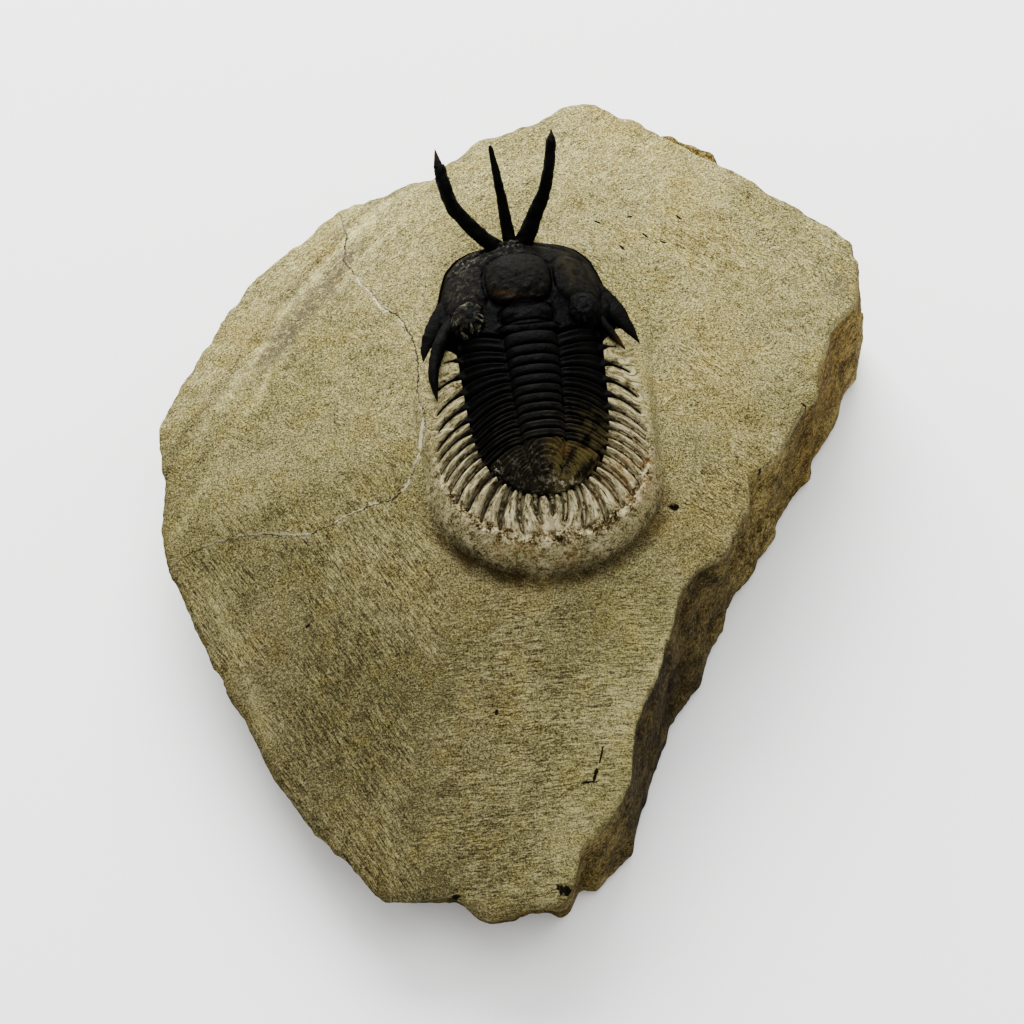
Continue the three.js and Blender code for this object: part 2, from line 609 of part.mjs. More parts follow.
// Outline of the whole body without its spines: head shield, cheek corner, thorax and tail.
function bodyOutline() {
  const head = HEAD_HALF.filter(([, y]) => y > HEAD_SIDE_START);
  const thorax = [...BODY_HALF].reverse().filter(([y]) => y < 0).map(([y, half]) => [half, y, 0]);
  return mirrored([...head, ...CHEEK_CORNER, ...thorax, [0, TAIL_END, 0]]);
}

// Height of the rock under the body: the smooth back or head, less the depth of its bed.
function bedHeight(x, y) {
  const back = backHeight(x, y, BED_FALL);
  const underHead = clamp01((y - HEAD_BED_START) / HEAD_BED_LENGTH);
  return back + (Math.min(headArch(x, y), back) - back) * underHead - BED_DEPTH;
}

// The slab: rings round the fossil's middle for bed, step, fan, mound, ground face and sides.
function slab() {
  const body = bodyOutline();
  const fan = mirrored(FAN_HALF);
  const foot = mirrored(FOOT_HALF);
  const columns = cutAngles().map((angle) => slabColumn(angle, body, fan, foot));
  const rings = columns[0].map((_, level) => columns.map((column) => column[level]));
  return shellOfRings(
    new THREE.Vector3(0, 0, bedHeight(0, 0)),
    rings,
    new THREE.Vector3(0, 0, 0),
  );
}

// Angles of the radial cuts: one through each corner of the upper edge, and more in wide gaps.
function cutAngles() {
  const corners = RIM.map(([x, y]) => Math.atan2(y, x)).sort((a, b) => a - b);
  return corners.flatMap((corner, i) => {
    const next = i + 1 < corners.length ? corners[i + 1] : corners[0] + 2 * Math.PI;
    const count = Math.ceil((next - corner) / WIDEST_CUT);
    return Array.from({ length: count }, (_, k) => corner + ((next - corner) * k) / count);
  });
}

// One radial cut through the slab, from the middle of the bed to the middle of the underside.
function slabColumn(angle, body, fan, foot) {
  const at = (reach, height) =>
    new THREE.Vector3(reach * Math.cos(angle), reach * Math.sin(angle), height);
  const edge = reachOf(body, angle).reach + STEP_GAP;
  const fanEnd = reachOf(fan, angle);
  const footEnd = reachOf(foot, angle);
  const rim = reachOf(RIM, angle);
  const inside = (share) => at(edge * share, bedAlong(angle, edge * share));
  const bed = [...BED_SHARES, 1].map(inside);
  const stepTop = stepHeight(angle, edge, fanEnd.height);
  const step = at(edge + STEP_WIDTH, stepTop);
  const shoulder = at(
    (fanEnd.reach + footEnd.reach) / 2,
    footEnd.height + (fanEnd.height - footEnd.height) * SHOULDER_SHARE,
  );
  const ground = GROUND_SHARES.map((share) =>
    at(
      footEnd.reach + (rim.reach - footEnd.reach) * share,
      footEnd.height + (rim.height - footEnd.height) * share ** GROUND_CURVE,
    ),
  );
  const wrapped = THREE.MathUtils.radToDeg(Math.atan2(Math.sin(angle), Math.cos(angle)));
  const base = rim.reach + tableAt(FOOTPRINT_REACH, wrapped);
  const ledge = tableAt(LEDGE_REACH, wrapped);
  const side = ([share, level]) => at(rim.reach + (base - rim.reach) * share, rim.height * level);
  const upper = side(UPPER_SIDE).add(at(ledge, ledge * LEDGE_LIFT));
  return [
    ...bed,
    step,
    at(fanEnd.reach, fanEnd.height),
    shoulder,
    at(footEnd.reach, footEnd.height),
    ...ground,
    at(rim.reach, rim.height),
    upper,
    side(LOWER_SIDE),
    at(base, BASE_HEIGHT),
    at(base - BASE_CHAMFER, 0),
  ];
}

// Height of the bed along one radial cut.
function bedAlong(angle, reach) {
  return bedHeight(reach * Math.cos(angle), reach * Math.sin(angle));
}

// Height of the rock just outside the body: as high as the plates' edges round the thorax
// and tail, and level with the ground face round the head.
function stepHeight(angle, edge, fanHeight) {
  const y = edge * Math.sin(angle);
  if (y > HEAD_SIDE_START) return fanHeight + HEAD_STEP_RISE;
  return Math.max(fanHeight, tableAt(EDGE_HEIGHT, y) - THORAX_STEP_DOWN);
}

function allGrooves() {
  const plates = Array.from({ length: SEGMENTS }, (_, plate) => plate);
  const side = plates.flatMap((plate) => [plateSpine(plate, 1), plateSpine(plate, -1)]);
  const flat = [...side, ...tailSpines()].map(spineGroove);
  return [...flat, ...HEAD_SPINES.map(roundSpineGroove)];
}

function matrixStone() {
  const cut = allGrooves().reduce((rock, groove) => rock.subtract(toSolid(groove)), toSolid(slab()));
  return toGeometry(cut);
}

const limestone = new THREE.MeshStandardMaterial({ color: 0x9a8c66, roughness: 0.9, metalness: 0 });
const blackCalcite = new THREE.MeshStandardMaterial({ color: 0x17140f, roughness: 0.4, metalness: 0 });
const brownCalcite = new THREE.MeshStandardMaterial({ color: 0x2e2717, roughness: 0.45, metalness: 0 });

const fossil = new THREE.Group();

function place(name, geometry, material) {
  const mesh = new THREE.Mesh(geometry, material);
  mesh.name = name;
  fossil.add(mesh);
  return mesh;
}

const matrix = place("matrix", matrixStone(), limestone);
place("cephalon", headShield(), blackCalcite);
for (let plate = 0; plate < SEGMENTS; plate++) {
  const number = String(plate + 1).padStart(2, "0");
  place("thorax_segment_" + number, thoraxPlate(plate), blackCalcite.clone());
}
place("pygidium", tailShield(), brownCalcite);

// The origin goes under the middle of the slab, on the surface that it rests on.
const slabBox = new THREE.Box3().setFromObject(matrix);
const slabMiddle = slabBox.getCenter(new THREE.Vector3());
fossil.position.set(-slabMiddle.x, -slabMiddle.y, -slabBox.min.z);

export default fossil;
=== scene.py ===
import math
from functools import partial
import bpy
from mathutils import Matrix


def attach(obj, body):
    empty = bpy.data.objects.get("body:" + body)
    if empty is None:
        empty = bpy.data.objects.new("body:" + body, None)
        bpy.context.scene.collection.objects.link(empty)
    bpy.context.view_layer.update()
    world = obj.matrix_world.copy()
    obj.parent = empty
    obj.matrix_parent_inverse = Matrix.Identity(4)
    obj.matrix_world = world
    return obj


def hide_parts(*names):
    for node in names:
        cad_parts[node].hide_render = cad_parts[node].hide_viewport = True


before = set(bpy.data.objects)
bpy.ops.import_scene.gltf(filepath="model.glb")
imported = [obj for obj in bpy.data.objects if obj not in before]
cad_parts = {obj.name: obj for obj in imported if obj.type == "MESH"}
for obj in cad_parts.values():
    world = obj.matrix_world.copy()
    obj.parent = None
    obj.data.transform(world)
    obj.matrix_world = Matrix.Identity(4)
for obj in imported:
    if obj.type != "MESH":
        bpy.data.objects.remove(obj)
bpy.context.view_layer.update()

from types import SimpleNamespace

import bpy
import numpy as np
from mathutils import Vector

print("frame loaded with", len(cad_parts), "nodes")

# Every shape below is worked out in millimetres about the middle of the fossil,
# with y from tail to head, and moved into the part's frame when its mesh is made.
fossilMiddle = np.array([0.653, 8.0, 0.0])
metres = 0.001


def readTable(table, x, soften=0.0):
    # rows of [input, output] read on straight lines, averaged over +-soften to round the corners
    rows = np.asarray(table, float)
    if soften == 0:
        return np.interp(x, rows[:, 0], rows[:, 1])
    steps = np.linspace(-1, 1, 9)
    weights = 1.05 - steps**2
    weights /= weights.sum()
    return sum(w * np.interp(x + s * soften, rows[:, 0], rows[:, 1]) for s, w in zip(steps, weights))


def ease(x, low, high):
    # 0 below low, 1 above high, 3t^2 - 2t^3 between
    t = np.clip((x - low) / (high - low), 0, 1)
    return t * t * (3 - 2 * t)


def bell(x, width):
    # exp(-(x / width)^2)
    return np.exp(-((x / width) ** 2))


latticeValues = np.random.default_rng(11).uniform(-1, 1, (64, 64, 64))


def lattice(x, y, z, size, seed=0):
    # random values on a cubic lattice of that size in mm, blended between its corners by 3t^2 - 2t^3
    p = [np.asarray(v) / size + seed * 7.31 + k * 3.17 for k, v in enumerate((x, y, z))]
    cell = [np.floor(v).astype(int) for v in p]
    part = [v - c for v, c in zip(p, cell)]
    part = [f * f * (3 - 2 * f) for f in part]
    total = 0
    for corner in range(8):
        pick = [(corner >> k) & 1 for k in range(3)]
        weight = 1
        for f, up in zip(part, pick):
            weight = weight * (f if up else 1 - f)
        total = total + weight * latticeValues[tuple((c + up) % 64 for c, up in zip(cell, pick))]
    return total


def rough(x, y, z, size, octaves, seed=0):
    # octaves of the lattice noise, each half as large and half as strong as the one before
    return sum(lattice(x, y, z, size / 2**k, seed + k) / 2**k for k in range(octaves))


def curveThrough(points, count):
    # a cubic from point to point whose slope at each is half the step between its neighbours
    p = np.asarray(points, float)
    u = np.linspace(0, len(p) - 1, count)
    i = np.minimum(u.astype(int), len(p) - 2)
    t = (u - i)[:, None]
    a, b, c, d = (p[np.clip(i + k, 0, len(p) - 1)] for k in (-1, 0, 1, 2))
    return 0.5 * (2 * b + (c - a) * t + (2 * a - 5 * b + 4 * c - d) * t**2 + (3 * b - a - 3 * c + d) * t**3)


def roundedOutline(points, rounding, count=3000):
    # the closed outline cut into even steps, its waves shorter than the rounding length faded out
    # by exp(-(2 pi rounding / wavelength)^2 / 2)
    p = np.asarray(points, float)
    loop = np.vstack([p, p[:1]])
    run = np.concatenate([[0], np.cumsum(np.hypot(*np.diff(loop[:, :2], axis=0).T))])
    even = np.linspace(0, run[-1], count, endpoint=False)
    line = np.stack([np.interp(even, run, loop[:, k]) for k in range(3)], 1)
    wave = np.fft.fftfreq(count, run[-1] / count)
    keep = np.exp(-0.5 * (2 * np.pi * wave * rounding) ** 2)
    return np.fft.ifft(np.fft.fft(line, axis=0) * keep[:, None], axis=0).real


def spots(x, y, rows, gather=np.sum):
    # soft spots, rows of x, y, half width, half length, strength and slope: strength times the
    # bells of both distances over their half sizes, gathered as a sum or as the greatest
    return gather([s * bell(x - a, w) * bell(y - b + slope * (x - a), h) for a, b, w, h, s, slope in rows], 0)


def outlineAt(points, angles, middle=(0, 0), rounding=0.8):
    # reach and height of an outline seen from a middle, against the angle
    line = roundedOutline(points, rounding)
    dx, dy = line[:, 0] - middle[0], line[:, 1] - middle[1]
    turn = np.arctan2(dy, dx)
    reach = np.interp(angles, *sortedPair(turn, np.hypot(dx, dy)), period=2 * np.pi)
    height = np.interp(angles, *sortedPair(turn, line[:, 2]), period=2 * np.pi)
    return reach, height


def sortedPair(keys, values):
    # two arrays put in the order of the first
    order = np.argsort(keys)
    return keys[order], values[order]


def mirrored(half):
    # a whole outline from its right-hand half, which starts and ends on the middle line
    left = [[-x, y, z] for x, y, z in half[1:-1][::-1]]
    return [list(row) for row in half] + left


def pathDistance(x, y, path):
    # distance to the nearest straight stretch of a path, the share of the way along it, and on
    # which side: 1 for its left and -1 for its right
    best = np.full(x.shape, 1e9)
    along = np.zeros(x.shape)
    side = np.zeros(x.shape)
    count = len(path) - 1
    for i in range(count):
        ax, ay = path[i][0], path[i][1]
        ex, ey = path[i + 1][0] - ax, path[i + 1][1] - ay
        t = np.clip(((x - ax) * ex + (y - ay) * ey) / (ex * ex + ey * ey), 0, 1)
        dx, dy = x - ax - t * ex, y - ay - t * ey
        d = np.hypot(dx, dy)
        near = d < best
        best = np.where(near, d, best)
        along = np.where(near, (i + t) / count, along)
        side = np.where(near, np.sign(ex * (y - ay) - ey * (x - ax)), side)
    return best, along, side


def skin(rings, **values):
    # rings of equal count stitched into a closed skin, each end gathered into its middle point
    rows, columns = rings.shape[:2]
    points = np.vstack([rings[0].mean(0), rings.reshape(-1, 3), rings[-1].mean(0)])
    start = 1 + np.arange(rows - 1)[:, None] * columns
    here = np.arange(columns)[None, :]
    after = (here + 1) % columns
    quads = np.stack([start + here, start + columns + here, start + columns + after, start + after], -1)
    first = np.stack([np.zeros(columns, int), 1 + here[0], 1 + after[0]], -1)
    rim = 1 + (rows - 1) * columns
    last = np.stack([rim + here[0], np.full(columns, len(points) - 1), rim + after[0]], -1)
    quads, tris = quads.reshape(-1, 4), np.vstack([first, last])
    halves = np.vstack([quads[:, [0, 1, 2]], quads[:, [0, 2, 3]], tris])
    a, b, c = (points[halves[:, k]] for k in range(3))
    if np.einsum("ij,ij->", a, np.cross(b, c)) < 0:
        quads, tris = quads[:, ::-1], tris[:, ::-1]
    flat = {}
    for name, field in values.items():
        field = np.broadcast_to(field, (rows, columns))
        flat[name] = np.concatenate([[field[0].mean()], field.reshape(-1), [field[-1].mean()]])
    return points, quads, tris, flat


def makePiece(name, node, skins, material):
    # one mesh of one or more skins, its values as point attributes, standing for a CAD node
    points, faces, offset = [], [], 0
    names = sorted({key for _, _, _, flat in skins for key in flat})
    fields = {key: [] for key in names}
    for own, quads, tris, flat in skins:
        points.append(own)
        faces += (quads + offset).tolist() + (tris + offset).tolist()
        offset += len(own)
        for key in names:
            fields[key].append(flat.get(key, np.zeros(len(own))))
    mesh = bpy.data.meshes.new(name)
    mesh.from_pydata(((np.vstack(points) + fossilMiddle) * metres).tolist(), [], faces)
    for key in names:
        layer = mesh.attributes.new(key, "FLOAT", "POINT")
        layer.data.foreach_set("value", np.concatenate(fields[key]).astype(np.float32))
    mesh.polygons.foreach_set("use_smooth", np.ones(len(mesh.polygons), bool))
    mesh.update()
    piece = bpy.data.objects.new(name, mesh)
    bpy.context.scene.collection.objects.link(piece)
    mesh.materials.append(material)
    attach(piece, "root")
    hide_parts(node)
    print(name, "has", len(faces), "faces")
    return piece


def srgb(colour):
    # a hex colour as seen on a screen, in linear light: c / 12.92 for the darkest parts and
    # ((c + 0.055) / 1.055) ^ 2.4 for the others
    parts = [int(colour[i : i + 2], 16) / 255 for i in (1, 3, 5)]
    return [p / 12.92 if p <= 0.04045 else ((p + 0.055) / 1.055) ** 2.4 for p in parts] + [1]


def fill(tree, socket, value):
    # a link, a number, a vector or a hex colour for a socket; None leaves it alone
    if isinstance(value, bpy.types.NodeSocket):
        tree.links.new(value, socket)
    elif value is not None:
        socket.default_value = srgb(value) if isinstance(value, str) else value


def addNode(tree, kind, *values, stops=(), **settings):
    # one node: its settings, its live sockets filled in order, the stops of a colour ramp as
    # (place, hex colour) from low to high; gives back its first live output
    node = tree.nodes.new("ShaderNode" + kind)
    for name, setting in settings.items():
        setattr(node, name, setting)
    for socket, value in zip([s for s in node.inputs if s.enabled], values):
        fill(tree, socket, value)
    for k, (place, colour) in enumerate(stops):
        elements = node.color_ramp.elements
        element = elements[k] if k < len(elements) else elements.new(place)
        element.position = place
        element.color = srgb(colour)
    return [s for s in node.outputs if s.enabled][0]


def startMaterial(name, values=()):
    # a new material: itself, its adder of nodes, places in the part, and the skin's own values
    material = bpy.data.materials.new(name)
    material.use_nodes = True
    tree = material.node_tree
    where = addNode(tree, "TexCoord").node.outputs["Object"]
    seen = {key: addNode(tree, "Attribute", attribute_name=key).node.outputs["Fac"] for key in values}
    return material, partial(addNode, tree), where, seen


def finishMaterial(material, inputs):
    # links or numbers for the named sockets of the material's shader
    shader = material.node_tree.nodes["Principled BSDF"]
    for name, value in inputs.items():
        fill(material.node_tree, shader.inputs[name], value)
    return material


def weighted(add, *pairs):
    # values times their weights, added up
    total = 0.0
    for value, weight in pairs:
        total = add("Math", value, weight, total, operation="MULTIPLY_ADD")
    return total


def product(add, *factors):
    # factors multiplied; (value, low, high, least, most) stands for a smoothstep of the value
    # between low and high that runs from least to most
    total = None
    for factor in factors:
        if isinstance(factor, tuple):
            factor = add("MapRange", *factor, interpolation_type="SMOOTHSTEP")
        total = factor if total is None else add("Math", total, factor, operation="MULTIPLY")
    return total


def laid(add, under, over, *factors, how="MIX"):
    # one colour over another, as strong as the product of the factors
    return add("Mix", product(add, *factors), under, over, data_type="RGBA", blend_type=how)


def drawnNoise(add, where, degrees, stretch, detail, roughness, distortion):
    # noise drawn out along a direction: coordinates turned in plan, then stretched
    turned = add("Mapping", where, None, (0, 0, math.radians(degrees)))
    stretched = add("Mapping", turned, None, None, stretch)
    return add("TexNoise", stretched, 1, detail, roughness, None, distortion)


marks = [  # dark marks: x, y, degrees, half length, half width, depth, all mm
    [20.9, -20.6, -30, 0.85, 0.55, 0.5], [3.5, -61.0, 71, 1.35, 0.16, 0], [2.2, -64.0, 66, 1.3, 0.3, 0.2],
    [0.7, -65.2, -3, 1.7, 0.18, 0], [-4.7, -80.9, -22, 1.7, 0.8, 0.8], [-22.3, -78.9, 0, 0.9, 0.4, 0.3],
    [15.3, 37.1, -35, 0.7, 0.2, 0], [23.4, 33.6, -45, 0.7, 0.22, 0], [18.9, 31.1, -50, 0.7, 0.28, 0],
    [26.4, 31.9, -20, 0.6, 0.22, 0], [30.0, 37.4, -50, 0.7, 0.22, 0], [21.2, 38.0, 10, 0.5, 0.2, 0],
    [46.2, -2.6, -40, 0.8, 0.2, 0], [36.4, -14.6, 60, 0.7, 0.2, 0],
    [-42.0, -31.5, 30, 0.5, 0.25, 0], [-12.6, -52.0, 70, 0.5, 0.22, 0],
]
whiteMarks = [[-16.6, -4.4, 0, 2.6, 0.14, 0], [-19.9, -3.0, 75, 2.2, 0.3, 0]]

limestoneLook = {
    # ramps: place on the ramp, colour
    "grains": [
        (0.42, "#241f11"), (0.468, "#5e573c"), (0.5, "#7d7554"), (0.532, "#9a946b"), (0.58, "#c9c496"),
    ],
    "tanRidge": [
        (0.4, "#1b1409"), (0.45, "#554d34"), (0.505, "#857d5d"), (0.56, "#aaa380"), (0.63, "#bdb694"),
    ],
    "paleRidge": [
        (0.4, "#241a0d"), (0.45, "#625a40"), (0.505, "#a09878"), (0.56, "#c5bd9e"), (0.63, "#d5ceb3"),
    ],
    "lip": [
        (0.425, "#1a1005"), (0.465, "#4b3d24"), (0.5, "#837859"), (0.54, "#aca281"), (0.585, "#cec6a8"),
    ],
    "face": [
        (0.42, "#2c2413"), (0.462, "#655c3f"), (0.5, "#8e8666"), (0.54, "#a69f7e"), (0.59, "#c3bc9c"),
    ],
    "broken": [
        (0.43, "#1b1403"), (0.475, "#42360f"), (0.51, "#6f5f2f"), (0.545, "#92814d"), (0.6, "#b5a576"),
    ],
    "sawn": [(0.38, "#544b30"), (0.6, "#91875f")],
    "seam": [(0.0, "#120c05"), (0.85, "#5a3814")],
    "shade": [(0.0, "#33260f"), (0.5, "#a09d93"), (1.0, "#fcfaea")],  # painted shade: from deepest shade to full light
    "tints": [  # noise, from, to, strength, colour laid over the grains as a soft light
        ("cloud", 0.42, 0.62, 0.45, "#5f6257"), ("cloud", 0.48, 0.34, 0.35, "#a8986a"),
        ("blotch", 0.48, 0.66, 0.4, "#a89d6e"), ("blotch", 0.48, 0.34, 0.4, "#50504a"),
    ],
    "bedding": "#4a443c",
    "rust": "#765629",
    "speck": "#1a140a",
    "darkMark": "#0f0a04",
    "whiteMark": "#d0cab0",
    "ochre": "#9c8a50",
    "leftShell": "#070503",
    "crackFilling": "#d6d0b6",
    "crackFlecks": "#cfc9ae",
    "crackParting": "#1d1709",
    "noises": {  # blotches per metre, detail, roughness: grains are 0.3 mm, the finest that shows
        "grain": (3100, 3, 0.65), "grit": (7000, 2, 0.6), "blotch": (230, 4, 0.6), "cloud": (42, 3, 0.5),
        "bedding": (900, 5, 0.8), "bumps": (750, 4, 0.75), "rust": (420, 4, 0.65), "speck": (1100, 4, 0.75),
        "fray": (1500, 4, 0.7), "coarse": (1500, 4, 0.75), "area": (60, 2, 0.5), "curls": (95, 3, 0.6),
        "wander": (520, 6, 0.85), "healed": (190, 3, 0.55), "gaps": (760, 4, 0.75),
    },
    "drawn": {  # degrees, stretch per metre, detail, roughness, distortion
        "level": (2, (420, 3000, 900), 4, 0.72, 1.2), "steep": (62, (380, 3000, 900), 4, 0.72, 1.2),
        "upRight": (-30, (700, 2900, 900), 4, 0.72, 1.8), "downRight": (38, (560, 2800, 900), 4, 0.72, 1.6),
        "curled": (15, (1000, 2500, 1000), 4, 0.7, 3.2), "brushed": (-12, (420, 1150, 700), 5, 0.78, 0.6),
        "sawMarks": (12, (25, 1100, 400), 3, 0.6, 0.2),
    },
    # stretch across and along a ridge, detail, roughness, distortion
    "streak": [(4.0, 0.5, 1), 4, 0.65, 0.4],
    "hairline": [(8.5, 0.42, 1), 3, 0.6, 0.7],
    "crackWander": 2.1,  # mm
    "crackWidth": (0.17, 0.015),  # mm where it is healed widest, and everywhere
    "roughness": 0.88, "ior": 1.49, "specular": 0.05,
    "reliefMetres": 0.00028, "relief": 0.8,
}
limestoneValues = (
    "pale", "grey", "fan", "fanAcross", "fanAlong", "whiten", "powder", "lip", "rust", "seam", "crack",
    "healing", "ochre", "broken", "sawn", "bed", "shade", "strokeLevel", "strokeSteep", "strokeUp",
)


def toolStrokes(add, seen, noises, drawn):
    # short scratches of the grinding tool: each area takes its own direction over the last
    strokes = drawn["curled"]
    for name, share in (
        ("downRight", (noises["area"], 0.44, 0.52)), ("upRight", (noises["area"], 0.42, 0.36)),
        ("level", seen["strokeLevel"]), ("steep", seen["strokeSteep"]), ("upRight", seen["strokeUp"]),
        ("curled", (noises["curls"], 0.5, 0.62)),
    ):
        strokes = add("Mix", product(add, share), strokes, drawn[name])
    return strokes


def nearestOval(add, where, rows):
    # the least distance to ovals on the fossil's plan, 0 in the middle of one and 1 at its edge
    nearest = 1000.0
    for x, y, degrees, length, width, _ in rows:
        middle = ((x + fossilMiddle[0]) * metres, (y + fossilMiddle[1]) * metres, 0)
        size = (length * metres, width * metres, 1)
        local = add("Mapping", where, middle, (0, 0, math.radians(degrees)), size, vector_type="TEXTURE")
        nearest = add("Math", nearest, add("VectorMath", local, operation="LENGTH"), operation="MINIMUM")
    return nearest


def crackColour(add, seen, noises, colour):
    # a healed crack: broken white calcite and flecks beside a thin dark parting, all by the
    # distance in mm from a line that wanders
    look = limestoneLook
    wander = add("Math", noises["wander"], 0.5, operation="SUBTRACT")
    line = add("Math", wander, look["crackWander"], seen["crack"], operation="MULTIPLY_ADD")
    fromLine = add("Math", line, operation="ABSOLUTE")
    healed = product(add, (noises["healed"], 0.42, 0.6))
    width = add("Math", healed, *look["crackWidth"], operation="MULTIPLY_ADD")
    white = (add("Math", fromLine, width, operation="DIVIDE"), 0.6, 2.4, 1, 0)
    gaps = (noises["gaps"], 0.39, 0.47)
    colour = laid(add, colour, look["crackFilling"], seen["healing"], gaps, white)
    flecks, beside = (noises["coarse"], 0.55, 0.61, 0, 0.8), (fromLine, 0.3, 1.3, 1, 0)
    colour = laid(add, colour, look["crackFlecks"], flecks, beside, healed, seen["healing"])
    offset = add("Math", line, 0.15, operation="ADD")
    parting = (add("Math", offset, operation="ABSOLUTE"), 0.05, 0.22, 1, 0)
    return laid(add, colour, look["crackParting"], (healed, 0, 0.7, 1, 0.7), parting)


def fanColour(add, seen, noises, drawn, colour):
    # the abraded fan: ridges streaked lengthwise by hairlines, the brushed face of the mound, lighter in part
    # as painted light, the bumpy lip, rust together with a brown painted shadow tint in the hollow, and dark
    # seams where the spines lie; also gives back the ridges' own noise
    look = limestoneLook
    grain = noises["grain"]
    across = add("CombineXYZ", seen["fanAcross"], seen["fanAlong"])
    streak, hairline = (
        add("TexNoise", add("Mapping", across, None, None, stretch), 1, detail, roughness, None, distortion)
        for stretch, detail, roughness, distortion in (look["streak"], look["hairline"])
    )
    ridgeFine = weighted(add, (streak, 0.42), (hairline, 0.38), (grain, 0.2))
    tan, pale = (add("ValToRGB", ridgeFine, stops=look[key]) for key in ("tanRidge", "paleRidge"))
    brushed = weighted(add, (drawn["brushed"], 0.62), (grain, 0.38))
    bumpy = weighted(add, (noises["bumps"], 0.65), (grain, 0.35))
    colour = laid(add, colour, laid(add, tan, pale, seen["whiten"]), seen["fan"])
    # the brushed face of the mound, its lighter tone partly painted light where the face catches light
    colour = laid(add, colour, add("ValToRGB", brushed, stops=look["face"]), seen["powder"])
    colour = laid(add, colour, add("ValToRGB", bumpy, stops=look["lip"]), seen["lip"])
    # rust spots, and a brown painted shadow tint in the hollow at the mound's foot
    colour = laid(add, colour, look["rust"], seen["rust"], (noises["rust"], 0.46, 0.6, 0, 0.75))
    seam = add("ValToRGB", seen["rust"], stops=look["seam"])
    return laid(add, colour, seam, seen["seam"], (streak, 0.3, 0.6, 1, 0.7)), ridgeFine


def groundLimestone():
    # Fine olive-grey limestone, ground with a rotary tool: the eye gets short directional
    # tool strokes over a speckled grain, whiter where it was air-abraded round the fossil,
    # ochre and coarse where the stone was broken, striped underneath where it was sawn.
    look = limestoneLook
    material, add, where, seen = startMaterial("ground limestone", limestoneValues)
    noises = {key: add("TexNoise", where, *row) for key, row in look["noises"].items()}
    drawn = {key: drawnNoise(add, where, *row) for key, row in look["drawn"].items()}
    grain, grit = noises["grain"], noises["grit"]
    strokes = toolStrokes(add, seen, noises, drawn)
    fine = weighted(add, (grain, 0.32), (grit, 0.26), (strokes, 0.42), (seen["pale"], 0.055))
    colour = add("ValToRGB", fine, stops=look["grains"])
    for name, low, high, strength, tint in look["tints"]:
        colour = laid(add, colour, tint, (noises[name], low, high, 0, strength), how="SOFT_LIGHT")
    colour = laid(add, colour, look["bedding"], seen["grey"], (noises["bedding"], 0.42, 0.53, 0, 0.8))
    colour, ridgeFine = fanColour(add, seen, noises, drawn, colour)
    colour = crackColour(add, seen, noises, colour)

    # specks everywhere, then the marks that have places of their own, with frayed edges
    speck = product(add, (noises["speck"], 0.27, 0.335, 0.7, 0))
    colour = laid(add, colour, look["speck"], speck)
    frayed = add("Math", noises["fray"], 2.4, -1.2, operation="MULTIPLY_ADD")
    darkEdge, whiteEdge = (
        add("Math", nearestOval(add, where, rows), frayed, operation="ADD") for rows in (marks, whiteMarks)
    )
    dark = product(add, (darkEdge, 0.8, 1.15, 1, 0))
    colour = laid(add, colour, look["darkMark"], dark)
    colour = laid(add, colour, look["whiteMark"], (whiteEdge, 0.7, 1.2, 0.75, 0))

    # broken sides, sawn underside, and the shell left in the bed under the plates
    coarse = weighted(add, (noises["blotch"], 0.22), (noises["coarse"], 0.42), (grit, 0.36))
    broken = add("ValToRGB", coarse, stops=look["broken"])
    patches = (noises["cloud"], 0.36, 0.56, 0.155, 0.62)
    broken = laid(add, broken, look["ochre"], seen["ochre"], patches, how="OVERLAY")
    sawn = weighted(add, (drawn["sawMarks"], 0.6), (grain, 0.4))
    colour = laid(add, colour, broken, seen["broken"])
    colour = laid(add, colour, add("ValToRGB", sawn, stops=look["sawn"]), seen["sawn"])
    colour = laid(add, colour, look["leftShell"], seen["bed"])
    # painted light and shade multiplied over every colour
    colour = laid(add, colour, add("ValToRGB", seen["shade"], stops=look["shade"]), 1.0, how="MULTIPLY")

    height = weighted(
        add, (fine, 1.0), (speck, -0.35), (dark, -0.3), (product(add, seen["broken"], coarse), 4.5),
        (product(add, seen["fan"], ridgeFine), 1.1),
    )
    return finishMaterial(material, {
        "Base Color": colour, "Normal": add("Bump", look["relief"], look["reliefMetres"], None, height),
        "Roughness": look["roughness"], "IOR": look["ior"], "Specular IOR Level": look["specular"],
    })


calciteLook = {
    "noises": {  # blotches per metre, detail, roughness
        "grain": (2300, 4, 0.65), "mottle": (520, 4, 0.65), "wide": (160, 3, 0.55), "chips": (1100, 4, 0.7),
        "wear": (900, 4, 0.7),
    },
    "layers": [  # value of the skin, noise, from, to, least, most, colour
        ("film", "mottle", 0.3, 0.65, 0, 1, "#232017"), ("olive", "mottle", 0.38, 0.58, 0, 1, "#433b1e"),
        ("brown", "mottle", 0.25, 0.6, 0.5, 1, ""), ("chalk", "chips", 0.53, 0.6, 0, 1, "#8d8876"),
        ("worn", "wear", 0.45, 0.52, 0, 1, "#7d7558"),
    ],
    "roughness": (0.4, 0.65), "ior": 1.49, "specular": 0.018,
    "reliefMetres": 0.00025, "relief": 0.6,
}


